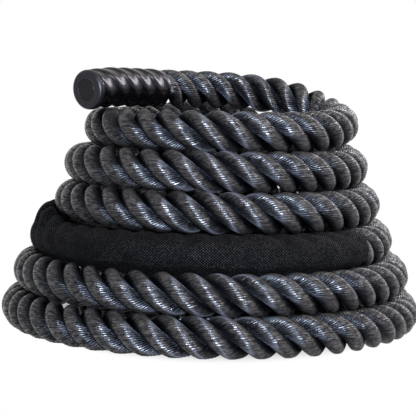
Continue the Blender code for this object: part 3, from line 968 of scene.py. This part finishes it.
def rope_material(looks):
    """Dark filament in yarns, with a chain of glints on each strand and dark grooves."""
    surface, tree, shader = new_material("rope_fibre")
    around, along = surface_place(tree)
    crest = field(tree, "ShaderNodeAttribute", "Fac", attribute_name="crest")
    thread = placed_group(tree, filament_group, {
        "Around": around, "Along": along, "Streaks": looks.streaks,
        "Streak Length": looks.streak_length, "Break Length": looks.break_length})
    yarn = (around * (looks.sides * math.pi / 2)).sin().math("ABSOLUTE")
    # Painted shade: below the body level the strand's colour fades to the groove shade colour,
    # darkest at the groove level
    painted_shade_fade = ranged(tree, crest, looks.groove_crest, looks.body_crest)
    light = ranged(tree, thread["Streak"], *STREAK_LEVELS)
    gloss = ranged(tree, thread["Break"], *BREAK_LEVELS)
    gloss = gloss * ranged(tree, light, *LIT_STREAK_LEVELS, DULL_STREAK, 1.0)
    body = mixed(tree, light, tuple(looks.fibre_shade), tuple(looks.fibre_colour))
    relief = yarn * looks.yarn_relief
    wisps = noise(tree, object_place(tree), 1 / looks.wisp_size)
    # The base colour carries the painted groove shade
    dress(tree, shader, {
        "Base Color": mixed(tree, painted_shade_fade, tuple(looks.painted_groove_shade), body),
        "Roughness": ranged(tree, light, 0.0, 1.0, looks.dull_roughness, looks.gloss_roughness),
        "Specular IOR Level": looks.shine,
        "Anisotropic": looks.spread,
        "Tangent": field(tree, "ShaderNodeTangent", direction_type="UV_MAP", uv_map="UVMap"),
        "Normal": raised(tree, relief + thread["Streak"] * STREAK_RELIEF, looks.relief_height),
        "Coat Weight": gloss * ranged(tree, crest, looks.groove_crest - GLOSS_FADE,
                                      looks.groove_crest),
        "Coat Roughness": looks.glint_roughness,
        "Coat IOR": looks.glint_index,
        "Coat Normal": raised(tree, relief + wisps * STREAK_RELIEF, looks.relief_height)})
    paint(shader.inputs["Specular Tint"], looks.glint_colour)
    return surface


def sleeve_material(looks):
    """Near-black cloth with light slanting threads."""
    surface, tree, shader = new_material("sleeve_weave")
    across, along = surface_place(tree)
    weave = placed_group(tree, weave_group, {
        "Across": across, "Along": along, "Pitch": looks.thread_pitch, "Slant": looks.slant})
    patch = noise(tree, object_place(tree), 1 / looks.patch_size)
    worn = noise(tree, object_place(tree), 1 / looks.thread_pitch, 3.0)
    bright = ranged(tree, weave["Height"], *THREAD_LEVELS)
    bright = bright * ranged(tree, worn, *WORN_LEVELS, WORN_THREAD, 1.0)
    bright = bright * ranged(tree, patch, *PATCH_LEVELS, DARK_PATCH, 1.0)
    dress(tree, shader, {
        "Base Color": mixed(tree, bright, tuple(looks.cloth_shade), tuple(looks.cloth_colour)),
        "Roughness": ranged(tree, weave["Over"] + patch, 0.0, 2.0, *CLOTH_ROUGHNESS),
        "Specular IOR Level": looks.shine,
        "Normal": raised(tree, weave["Height"] + worn * WORN_RELIEF, looks.thread_height)})
    return surface


def thread_material(looks):
    """Dark sewing thread of two twisted plies."""
    surface, tree, shader = new_material("sewing_thread")
    along, _, height = coordinates(tree, object_place(tree))
    thread = placed_group(tree, filament_group, {
        "Around": height * PLIES_PER_METRE, "Along": along, "Streaks": PLY_STREAKS,
        "Streak Length": PLY_STREAK_LENGTH, "Break Length": PLY_BREAK_LENGTH})
    dress(tree, shader, {
        "Base Color": mixed(
            tree, thread["Streak"], tuple(looks.cloth_shade), tuple(looks.thread_colour)),
        "Roughness": ranged(tree, thread["Break"], *PATCH_LEVELS, *THREAD_ROUGHNESS),
        "Specular IOR Level": looks.shine,
        "Normal": raised(tree, thread["Streak"], looks.thread_height)})
    return surface


def tape_material(looks):
    """Woven tape wound round the cut rope end."""
    surface, tree, shader = new_material("whipping_tape")
    along, _, across = coordinates(tree, object_place(tree))
    weave = placed_group(tree, weave_group, {
        "Across": across, "Along": along, "Pitch": looks.tape_pitch, "Slant": 1.0})
    dress(tree, shader, {
        "Base Color": mixed(
            tree, weave["Height"], tuple(looks.rubber_shade), tuple(looks.rubber_colour)),
        "Roughness": ranged(tree, weave["Over"], 0.0, 1.0, *TAPE_ROUGHNESS),
        "Normal": raised(tree, weave["Height"], looks.grain_height)})
    return surface


def moulded_material(name, looks, shade, colour, roughness, shine):
    """Rubber or plastic with a fine moulded grain and faint cloudy patches."""
    surface, tree, shader = new_material(name)
    grain = placed_group(tree, grain_group, {
        "Vector": object_place(tree), "Grain Size": looks.grain_size,
        "Patch Size": looks.patch_size})
    cloud = ranged(tree, grain["Patch"], *PATCH_LEVELS)
    dress(tree, shader, {
        "Base Color": mixed(tree, cloud, tuple(shade), tuple(colour)),
        "Roughness": ranged(tree, grain["Patch"], *PATCH_LEVELS, *roughness),
        "Specular IOR Level": shine,
        "Normal": raised(tree, grain["Grain"], looks.grain_height, GRAIN_STRENGTH)})
    paint(shader.inputs["Specular Tint"], looks.shine_colour)
    return surface


class RopeLooks(bpy.types.PropertyGroup):
    """Sizes and colours of the rope's strands."""
    step: length_setting("Step", "Distance between rings of faces along the rope", 3.6 * MM)
    sides: count_setting("Sides", "Faces round each strand, two for each yarn", 54)
    helix_radius: length_setting(
        "Helix radius", "Distance from the rope's middle to a strand's middle", 13.3 * MM)
    strand_radius: length_setting(
        "Strand radius", "Half the strand's thickness, outwards", 12.8 * MM)
    strand_breadth: length_setting(
        "Strand breadth", "Half the strand's width, round the rope", 13.9 * MM)
    groove_gap: length_setting("Groove gap", "Space left at the groove between strands", 0.15 * MM)
    softness: length_setting(
        "Corner softness", "Rounding where a strand meets its neighbour", 1.5 * MM)
    yarn_turns: number_setting(
        "Yarn turns", "Turns of the yarns in a strand for each turn of the strand", 2.0)
    yarn_height: length_setting(
        "Yarn height", "How far a yarn stands above the hollows beside it", 0.45 * MM)
    unevenness: number_setting("Unevenness", "Share by which a strand's thickness varies", 0.05)
    streaks: number_setting("Streaks", "Light and dark streaks round a strand", 60)
    streak_length: length_setting("Streak length", "Length of a streak", 12 * MM)
    relief_height: length_setting(
        "Relief height", "Full depth of a strand's shaded hollows", 1.0 * MM)
    break_length: length_setting(
        "Break length", "Length over which the shine comes and goes", 5 * MM)
    # Painted shade: between the body level and the groove level a strand's colour darkens towards
    # its grooves; the groove level also ends the strand's gloss
    groove_crest: number_setting(
        "Groove level", "Level, from -1 inside to 1 outside, of the darkest groove", 0.38)
    body_crest: number_setting(
        "Body level", "Level from which the strand has its full colour", 0.84)
    # Colour of the painted shade in the grooves between strands
    painted_groove_shade: colour_setting(
        "Groove colour", "Colour of the strands' hidden sides", (0.0012, 0.0014, 0.0030))
    fibre_shade: colour_setting(
        "Fibre shade", "Colour of the dark streaks", (0.010, 0.0095, 0.0100))
    fibre_colour: colour_setting(
        "Fibre colour", "Colour of the light streaks", (0.078, 0.070, 0.068))
    glint_colour: colour_setting("Glint colour", "Tint of the filament's shine", (0.80, 0.85, 1.0))
    shine: number_setting("Shine", "Strength of the filament's shine", 0.23)
    glint_roughness: number_setting(
        "Glint roughness", "Roughness of the glints on the crests", 0.30)
    glint_index: number_setting(
        "Glint index", "Refractive index of the filament's smooth skin", 1.6)
    wisp_size: length_setting("Wisp size", "Size of the loose wisps that break up a glint", 3 * MM)
    yarn_relief: number_setting(
        "Yarn relief", "Share of the full depth that the hollows beside a yarn have", 0.5)
    spread: number_setting("Spread", "How far the shine spreads across the yarns", 1.0)
    gloss_roughness: number_setting("Gloss roughness", "Roughness of the glossy streaks", 0.38)
    dull_roughness: number_setting("Dull roughness", "Roughness of the dull streaks", 0.52)


class OBJECT_OT_lay_strands(bpy.types.Operator):
    """Lay three strands along the rope, in a free length and one for each turn"""
    bl_idname = "object.lay_strands"
    bl_label = "Lay strands"

    def execute(self, context):
        looks = context.scene.rope_looks
        tree = strand_tree()
        material = rope_material(looks)
        marks = [0, LEAD_END]
        marks += [ROUTE.where_turned(BACK_TURNED + 360 * turn) for turn in range(TURN_COUNT)]
        marks.append(ROPE_LENGTH)
        names = [f"strands_turn_{turn + 1}" for turn in range(TURN_COUNT)]
        names = ["strands_free_end", *names, "strands_inner_turn"]
        for name, start, end in zip(names, marks, marks[1:]):
            piece = link_piece(name, strand_path(name, start, end, looks.step))
            grow(piece, tree, {
                "Strands": STRANDS, "Sides": looks.sides, "Helix Radius": looks.helix_radius,
                "Strand Radius": looks.strand_radius, "Strand Breadth": looks.strand_breadth,
                "Groove Gap": looks.groove_gap, "Corner Softness": looks.softness,
                "Yarn Turns": looks.yarn_turns, "Yarn Height": looks.yarn_height,
                "Unevenness": looks.unevenness, "Uneven Length": LAY_LENGTH / STRANDS,
                "Seed": STRAND_SEED, "Material": material})
            rest_on_floor(piece.data)
            if start == 0:
                ROUTE.at(BEND_START)
                ROUTE.at(BEND_END)
                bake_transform(piece)
                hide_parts("rope_free_end")
            else:
                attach(piece, "stack")
                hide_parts("rope_coil")
            self.declare(piece, start, end)
        return {"FINISHED"}

    def declare(self, piece, start, end):
        """Say how long the rope is in this piece, and where it runs."""
        path = [ROUTE.at(length) for length in steps(start, end, CORD_STEP)]
        end - start


class CoverLooks(bpy.types.PropertyGroup):
    """Sizes and colours of the grips, caps and discs."""
    sides: count_setting("Sides", "Faces round a cover", 144)
    step: length_setting("Step", "Distance between rings of faces", 1.5 * MM)
    ridge_height: length_setting("Ridge height", "Depth of the grip's winding hollows", 2.2 * MM)
    skew: number_setting("Skew", "Below 1 a ridge is highest near the hollow before it", 0.55)
    phase: number_setting("Phase", "Turn of the ridges round the grip, in turns", 0.0)
    lip: length_setting("Lip", "Rounding of the grip's open end", 0.9 * MM)
    small_rounding: length_setting("Small rounding", "Rounding of the small edges", 0.4 * MM)
    rubber_shade: colour_setting(
        "Rubber shade", "Darker colour of the grip", (0.0016, 0.0015, 0.0020))
    rubber_colour: colour_setting(
        "Rubber colour", "Lighter colour of the grip", (0.0045, 0.0042, 0.0052))
    cap_shade: colour_setting("Cap shade", "Darker colour of the cap", (0.004, 0.0045, 0.0060))
    cap_colour: colour_setting("Cap colour", "Lighter colour of the cap", (0.008, 0.009, 0.012))
    disc_shade: colour_setting("Disc shade", "Darker colour of the disc", (0.004, 0.004, 0.005))
    disc_colour: colour_setting("Disc colour", "Lighter colour of the disc", (0.007, 0.007, 0.008))
    shine_colour: colour_setting("Shine colour", "Tint of the rubber's shine", (0.92, 0.88, 1.0))
    grain_size: length_setting("Grain size", "Size of the moulded grain", 0.7 * MM)
    grain_height: length_setting("Grain height", "Depth of the moulded grain", 0.12 * MM)
    patch_size: length_setting("Patch size", "Size of the cloudy patches", 9 * MM)
    tape_pitch: length_setting("Tape pitch", "Distance between the tape's threads", 1 * MM)


def grip_outline(looks):
    """Closed half outline of a grip, from its mouth to its neck and back inside."""
    small, neck_start = looks.small_rounding, GRIP_LENGTH - NECK_RUN
    outline = [(0.0, GRIP_RADIUS - small, 1.0)]
    for reach in steps(small, GRIP_LENGTH - looks.lip, looks.step):
        past = smooth((reach - neck_start) / NECK_RUN)
        outline.append((reach, mix(GRIP_RADIUS, GRIP_NECK_RADIUS, past), 1 - past))
    middle = (GRIP_LENGTH - looks.lip, GRIP_NECK_RADIUS - looks.lip)
    outline += rounded(middle, looks.lip, 0, 90)[1:]
    middle = (GRIP_LENGTH - small, GRIP_BORE_RADIUS + small)
    outline += rounded(middle, small, 90, 180)
    outline += [(reach, GRIP_BORE_RADIUS, 0.0)
                for reach in steps(GRIP_LENGTH - looks.step, looks.step, INNER_STEP)]
    outline.append((0.0, GRIP_BORE_RADIUS + small, 0.0))
    return outline


def cap_outline(looks):
    """Half outline of a cap, from the middle of its recess round to its plug."""
    small = looks.small_rounding
    floor = CAP_RECESS_DEPTH - CAP_LENGTH
    outline = [(floor, 0.0, 0.0)]
    outline += [(floor, radius, 0.0)
                for radius in steps(INNER_STEP, CAP_RECESS_RADIUS - small, INNER_STEP)]
    outline += rounded((floor - small, CAP_RECESS_RADIUS - small), small, 0, 90)[::-1]
    outline += rounded((small - CAP_LENGTH, CAP_RECESS_RADIUS + small), small, 180, 270)
    outline += rounded((CAP_ROUNDING - CAP_LENGTH, CAP_RADIUS - CAP_ROUNDING),
                       CAP_ROUNDING, -90, 0, CAP_ROUNDING_STEPS)
    plug = ((-small, CAP_RADIUS), (0.0, CAP_RADIUS - small), (0.0, CAP_PLUG_RADIUS),
            (CAP_PLUG_LENGTH - small, CAP_PLUG_RADIUS), (CAP_PLUG_LENGTH, CAP_PLUG_RADIUS - small),
            (CAP_PLUG_LENGTH, 0.0))
    return outline + [(reach, radius, 0.0) for reach, radius in plug]


def disc_outline(looks):
    """Half outline of a disc, from the middle of its face to that of its back."""
    small, radius = looks.small_rounding, CAP_RECESS_RADIUS - FIT_GAP
    back = CAP_RECESS_DEPTH - CAP_LENGTH - FIT_GAP
    face = back - DISC_THICKNESS
    outline = [(face, 0.0, 0.0)]
    outline += [(face, place, 0.0) for place in steps(INNER_STEP, radius - small * 2, INNER_STEP)]
    outline += rounded((face + small, radius - small), small, -90, 0)
    return outline + [(back, radius, 0.0), (back, 0.0, 0.0)]


class OBJECT_OT_fit_covers(bpy.types.Operator):
    """Fit a grip, a cap and a disc on each end of the rope"""
    bl_idname = "object.fit_covers"
    bl_label = "Fit covers"

    def execute(self, context):
        looks = context.scene.cover_looks
        tree = turned_tree()
        rubber = moulded_material(
            "grip_rubber", looks, looks.rubber_shade, looks.rubber_colour, *RUBBER_FINISH)
        cap = moulded_material(
            "cap_rubber", looks, looks.cap_shade, looks.cap_colour, *CAP_FINISH)
        plastic = moulded_material(
            "disc_plastic", looks, looks.disc_shade, looks.disc_colour, *DISC_FINISH)
        tape = tape_material(looks)
        kinds = (
            ("ridged_grip", "grip", "grip_rubber", grip_outline(looks), GRIP_RIDGES, 0, rubber),
            ("moulded_cap", "end_cap", "cap_rubber", cap_outline(looks), 1, FIT_GAP, cap),
            ("cap_face", "cap_disc", "disc_plastic", disc_outline(looks), 1, FIT_GAP, plastic))
        ends = (("top", 0, 1, "free_end"), ("tail", ROPE_LENGTH, -1, "stack"))
        for side, end, inward, body in ends:
            mouth = end - inward * CAP_SETBACK
            for label, node, slot, outline, ridges, gap, material in kinds:
                name = f"{label}_{side}"
                closed = node == "grip"
                path = turned_path(name, outline, mouth - inward * gap, inward, closed)
                piece = link_piece(name, path)
                grow(piece, tree, {
                    "Sides": looks.sides, "Ridges": ridges, "Lead": GRIP_LEAD,
                    "Ridge Height": looks.ridge_height, "Skew": looks.skew, "Phase": looks.phase,
                    "Material": material})
                piece.data.set_sharp_from_angle(angle=COVER_EDGE)
                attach(piece, body)
                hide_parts(f"{node}_{side}")
            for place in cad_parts[f"whipping_{side}"].material_slots:
                place.material = tape
        return {"FINISHED"}


class SleeveLooks(bpy.types.PropertyGroup):
    """Sizes and colours of the sleeve and its stitches."""
    wall: length_setting("Wall", "Thickness of the cloth", 1.1 * MM)
    rows: count_setting("Rows", "Faces along the sleeve", 440)
    columns: count_setting("Columns", "Faces round the sleeve", 84)
    sag: length_setting("Sag", "Depth of the cloth's hollows between the strands", 0.5 * MM)
    upper_sag: length_setting("Upper sag", "Further depth along the upper side", 2.2 * MM)
    end_sag: length_setting("End sag", "Further depth where the rope bends away", 1.8 * MM)
    puff: length_setting(
        "Puff", "How far the loose cloth stands up where the rope bends away", 18 * MM)
    press: length_setting(
        "Press", "How far the cloth hangs down between the strands below", 3.5 * MM)
    ripple: length_setting("Ripple", "Height of the cloth's loose ripples", 0.5 * MM)
    thread_pitch: length_setting("Thread pitch", "Distance between threads", 3.4 * MM)
    slant: number_setting("Slant", "Threads crossed sideways for each one crossed along", 1.0)
    thread_height: length_setting("Thread height", "How far a thread stands up", 0.5 * MM)
    patch_size: length_setting("Patch size", "Size of the paler patches", 25 * MM)
    cloth_shade: colour_setting(
        "Cloth shade", "Colour between the threads", (0.0012, 0.0012, 0.0014))
    cloth_colour: colour_setting("Cloth colour", "Colour of the threads", (0.13, 0.13, 0.14))
    thread_colour: colour_setting(
        "Thread colour", "Colour of the sewing thread", (0.028, 0.028, 0.031))
    shine: number_setting("Shine", "Strength of the cloth's shine", 0.04)
    stitch_spacing: length_setting("Stitch spacing", "Distance between stitches", 4.2 * MM)
    stitch_length: length_setting("Stitch length", "Length of a stitch", 3 * MM)
    stitch_radius: length_setting("Thread radius", "Half the sewing thread's thickness", 0.35 * MM)
    hem: number_setting(
        "Hem", "Angle from the cloth's edge to its stitches", math.radians(9), "ANGLE")


def sleeve_point(looks, length, swept, proud=0.0):
    """Point on the sleeve, an angle round from its edge under the lap.

    The outward side of the coil is at angle 0, and up at 90.
    """
    centre, side, up = ROUTE.section(length)
    angle = math.radians(LAP_HIGH_ANGLE - swept)
    from_outward = (LAP_HIGH_ANGLE - swept + 540) % 360 - 180
    along = (length - SLEEVE_START) / SLEEVE_LENGTH
    lap = smooth((swept - 360 + LAP_RISE_SWEEP) / LAP_RISE_SWEEP)
    valley = (1 - math.cos(STRANDS * (math.pi - angle - lay_angle(length)))) / 2
    depth = looks.sag + loose(from_outward, UPPER_SIDE_MARKS) * looks.upper_sag
    away = smooth((along - END_SAG_START) / (END_SAG_FULL - END_SAG_START))
    depth += away * looks.end_sag
    radius = SLEEVE_RADIUS - looks.wall / 2 + lap * (looks.wall + FIT_GAP / 2) + proud
    radius -= depth * valley ** 2
    puffed = loose(along, PUFF_LENGTH_MARKS) * loose(from_outward, PUFF_SIDE_MARKS)
    radius += looks.puff * puffed * (1 - valley ** 2 / 2)
    pressed = loose(along, PRESS_LENGTH_MARKS) * loose(from_outward, PRESS_SIDE_MARKS)
    radius += looks.press * pressed
    arm = up * math.sin(angle) - side * math.cos(angle)
    place = centre + arm * radius
    ripple = fractal(place / RIPPLE_LENGTH, 1.0, 2.0, 2) * looks.ripple
    return place + arm * max(ripple, -FIT_GAP / 2), arm


class OBJECT_OT_sew_sleeve(bpy.types.Operator):
    """Wrap the woven sleeve round the rope's middle and sew its lap"""
    bl_idname = "object.sew_sleeve"
    bl_label = "Sew sleeve"

    def execute(self, context):
        looks = context.scene.sleeve_looks
        lengths = steps(SLEEVE_START, SLEEVE_END, SLEEVE_LENGTH / looks.rows)
        sweeps = steps(0, SLEEVE_SWEEP, SLEEVE_SWEEP / looks.columns)
        mesh = bpy.data.meshes.new("woven_sleeve")
        points = [sleeve_point(looks, length, swept)[0] for length in lengths for swept in sweeps]
        wide = len(sweeps)
        faces = [(row * wide + column, row * wide + column + 1,
                  (row + 1) * wide + column + 1, (row + 1) * wide + column)
                 for row in range(len(lengths) - 1) for column in range(wide - 1)]
        mesh.from_pydata(points, [], faces)
        places = [(math.radians(swept) * SLEEVE_RADIUS, length)
                  for length in lengths for swept in sweeps]
        layer = mesh.uv_layers.new(name="UVMap")
        layer.data.foreach_set("uv", [
            part for face in faces for corner in face for part in places[corner]])
        mesh.shade_smooth()
        mesh.materials.append(sleeve_material(looks))
        sleeve = link_piece("woven_sleeve", mesh)
        add_wall(sleeve, looks.wall)
        plain_mesh(sleeve).data.set_sharp_from_angle(angle=CLOTH_EDGE)
        stitches = self.sew(looks)
        for piece in (sleeve, stitches):
            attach(piece, "stack")
        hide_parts("sleeve", "sleeve_lap")
        return {"FINISHED"}

    def sew(self, looks):
        """Row of stitches along the lap's edge."""
        swept = SLEEVE_SWEEP - math.degrees(looks.hem)
        proud = looks.wall / 2 + looks.stitch_radius / 4
        margin = looks.stitch_spacing
        spots = [sleeve_point(looks, length, swept, proud)
                 for length in steps(SLEEVE_START + margin, SLEEVE_END - margin, margin / 2)]
        path = path_mesh("sleeve_stitches", [place for place, _ in spots],
                         {"outward": [arm for _, arm in spots]})
        return grow(link_piece("sleeve_stitches", path), stitch_tree(), {
            "Spacing": looks.stitch_spacing, "Stitch Length": looks.stitch_length,
            "Thread Radius": looks.stitch_radius, "Sides": STITCH_SIDES,
            "Material": thread_material(looks)})


# Stage

# The camera, from a fit of the coil's turns to the photograph's outline
CAMERA_PLACE = Vector((-5.4 * MM, -1811 * MM, 311.5 * MM))
CAMERA_PITCH = math.radians(-4.85)
CAMERA_ROLL = math.radians(1.22)
LENS = 114.85
SENSOR = 36

# Each lamp's name, place, size and colour, and what they all face
LAMPS = (
    ("key", (1.1, -0.8, 1.6), (0.6, 0.6), (1, 0.93, 0.86)),
    ("front", (0.25, -2.2, 0.65), (0.2, 0.2), (0.76, 0.85, 1)),
    ("glint", (0.1, -2.2, 0.6), (0.2, 0.2), (0.72, 0.82, 1)),
    ("rim", (1.3, 0.9, 1.2), (0.35, 0.9), (0.95, 0.92, 1)),
)
LAMP_TARGET = (0, 0, 0.15)
AMBIENT_COLOUR = (0.78, 0.87, 1, 1)
WHITE = (1, 1, 1, 1)

# The floor, and the oval part of it that is left to the object's shadow: its
# middle, how much narrower it is than long, and the distances over which it ends
FLOOR_REACH = 30.0
FLOOR_COLOUR = (0.9, 0.9, 0.9, 1)
FLOOR_ROUGHNESS = 0.9
SHADOW_CENTRE = (0, 0.12, 0)
SHADOW_NARROWING = (1.5, 1, 1)
SHADOW_END = (0.28, 0.41)


class StageLooks(bpy.types.PropertyGroup):
    """Levels and colours of the studio."""
    ambient: number_setting("Ambient", "Even light from all round", 0.10)
    key_power: number_setting("Key", "Power of the soft light above, to the right", 20, "POWER")
    front_power: number_setting("Front", "Power of the small light near the camera", 24, "POWER")
    glint_power: number_setting(
        "Glint", "Power of the lamp near the camera that only shows as shine", 175, "POWER")
    rim_power: number_setting("Rim", "Power of the wide light behind, to the right", 16, "POWER")


def make_camera():
    """Camera at the photograph's viewing angle."""
    camera = bpy.data.objects.new("camera", bpy.data.cameras.new("camera"))
    bpy.context.scene.collection.objects.link(camera)
    camera.data.lens = LENS
    camera.data.sensor_width = SENSOR
    forward = Vector((0, math.cos(CAMERA_PITCH), math.sin(CAMERA_PITCH)))
    right = Vector((1, 0, 0))
    up = right.cross(forward)
    turned_right = right * math.cos(CAMERA_ROLL) + up * math.sin(CAMERA_ROLL)
    turned_up = up * math.cos(CAMERA_ROLL) - right * math.sin(CAMERA_ROLL)
    axes = Matrix((turned_right, turned_up, -forward)).transposed()
    camera.matrix_world = Matrix.Translation(CAMERA_PLACE) @ axes.to_4x4()
    bpy.context.scene.camera = camera


def area_light(name, place, size, colour, power):
    """Soft light that faces the object."""
    data = bpy.data.lights.new(name, "AREA")
    data.shape = "RECTANGLE"
    data.size, data.size_y = size
    data.energy = power
    data.color = colour
    light = bpy.data.objects.new(name, data)
    bpy.context.scene.collection.objects.link(light)
    light.location = place
    aim = Vector(LAMP_TARGET) - Vector(place)
    light.rotation_euler = aim.to_track_quat("-Z", "Y").to_euler()
    return light


def seen_directly(tree):
    """One for camera, glossy and transmission rays."""
    path = add_node(tree, "ShaderNodeLightPath").outputs
    seen = Field(tree, path["Is Camera Ray"]).math("MAXIMUM", path["Is Glossy Ray"])
    return seen.math("MAXIMUM", path["Is Transmission Ray"])


def make_world(looks):
    """White surroundings that light the object evenly."""
    world = bpy.data.worlds.new("studio")
    bpy.context.scene.world = world
    world.use_nodes = True
    tree = world.node_tree
    tree.nodes.clear()
    even = add_node(tree, "ShaderNodeBackground",
                    {"Color": AMBIENT_COLOUR, "Strength": looks.ambient})
    white = add_node(tree, "ShaderNodeBackground", {"Color": WHITE, "Strength": 1.0})
    both = add_node(tree, "ShaderNodeMixShader",
                    {0: seen_directly(tree), 1: even.outputs[0], 2: white.outputs[0]})
    add_node(tree, "ShaderNodeOutputWorld", {"Surface": both.outputs[0]})


def make_floor():
    """White floor that keeps the object's shadow inside the coil and behind it."""
    surface, tree, shader = new_material("studio_floor")
    dress(tree, shader, {
        "Base Color": FLOOR_COLOUR, "Roughness": FLOOR_ROUGHNESS, "Specular IOR Level": 0.0})
    white = add_node(tree, "ShaderNodeEmission", {"Color": WHITE, "Strength": 1.0})
    place = object_place(tree).vector_math("MULTIPLY", SHADOW_NARROWING)
    away = field(tree, "ShaderNodeVectorMath", "Value", {0: place, 1: SHADOW_CENTRE},
                 operation="DISTANCE")
    share = seen_directly(tree) * ranged(tree, away, *SHADOW_END)
    both = add_node(tree, "ShaderNodeMixShader",
                    {0: share, 1: shader.outputs[0], 2: white.outputs[0]})
    feed(tree, tree.nodes["Material Output"].inputs["Surface"], both.outputs[0])
    mesh = bpy.data.meshes.new("floor")
    corners = [(x * FLOOR_REACH, y * FLOOR_REACH, 0)
               for x, y in ((-1, -1), (1, -1), (1, 1), (-1, 1))]
    mesh.from_pydata(corners, [], [(0, 1, 2, 3)])
    mesh.materials.append(surface)
    link_piece("floor", mesh)


class SCENE_OT_set_stage(bpy.types.Operator):
    """Set the camera, the floor, the surroundings and the lights"""
    bl_idname = "scene.set_stage"
    bl_label = "Set stage"

    def execute(self, context):
        looks = context.scene.stage_looks
        make_camera()
        make_world(looks)
        make_floor()
        context.scene.view_settings.view_transform = "Standard"
        for name, place, size, colour in LAMPS:
            lamp = area_light(name, place, size, colour, getattr(looks, f"{name}_power"))
            # The glint lamp shows only as shine
            lamp.visible_diffuse = name != "glint"
        return {"FINISHED"}


class VIEW3D_PT_battle_rope(bpy.types.Panel):
    """Buttons and settings for the battle rope"""
    bl_label = "Battle rope"
    bl_space_type = "VIEW_3D"
    bl_region_type = "UI"
    bl_category = "Battle rope"

    def draw(self, context):
        for operator in OPERATORS:
            self.layout.operator(operator.bl_idname)


OPERATORS = (SCENE_OT_set_stage, OBJECT_OT_lay_strands, OBJECT_OT_fit_covers, OBJECT_OT_sew_sleeve)
SETTINGS = {"stage_looks": StageLooks, "rope_looks": RopeLooks, "cover_looks": CoverLooks,
            "sleeve_looks": SleeveLooks}
CLASSES = (*SETTINGS.values(), *OPERATORS, VIEW3D_PT_battle_rope)


def register():
    """Add the classes and their settings."""
    for entry in CLASSES:
        bpy.utils.register_class(entry)
    for name, group in SETTINGS.items():
        setattr(bpy.types.Scene, name, bpy.props.PointerProperty(type=group))


def unregister():
    """Take the classes and their settings away again."""
    for name in SETTINGS:
        delattr(bpy.types.Scene, name)
    for entry in reversed(CLASSES):
        bpy.utils.unregister_class(entry)


def main():
    """Build everything and note the size before and after."""
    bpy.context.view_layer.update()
    register()
    bpy.ops.scene.set_stage()
    bpy.ops.object.lay_strands()
    bpy.ops.object.fit_covers()
    bpy.ops.object.sew_sleeve()


if __name__ == "__main__":
    main()
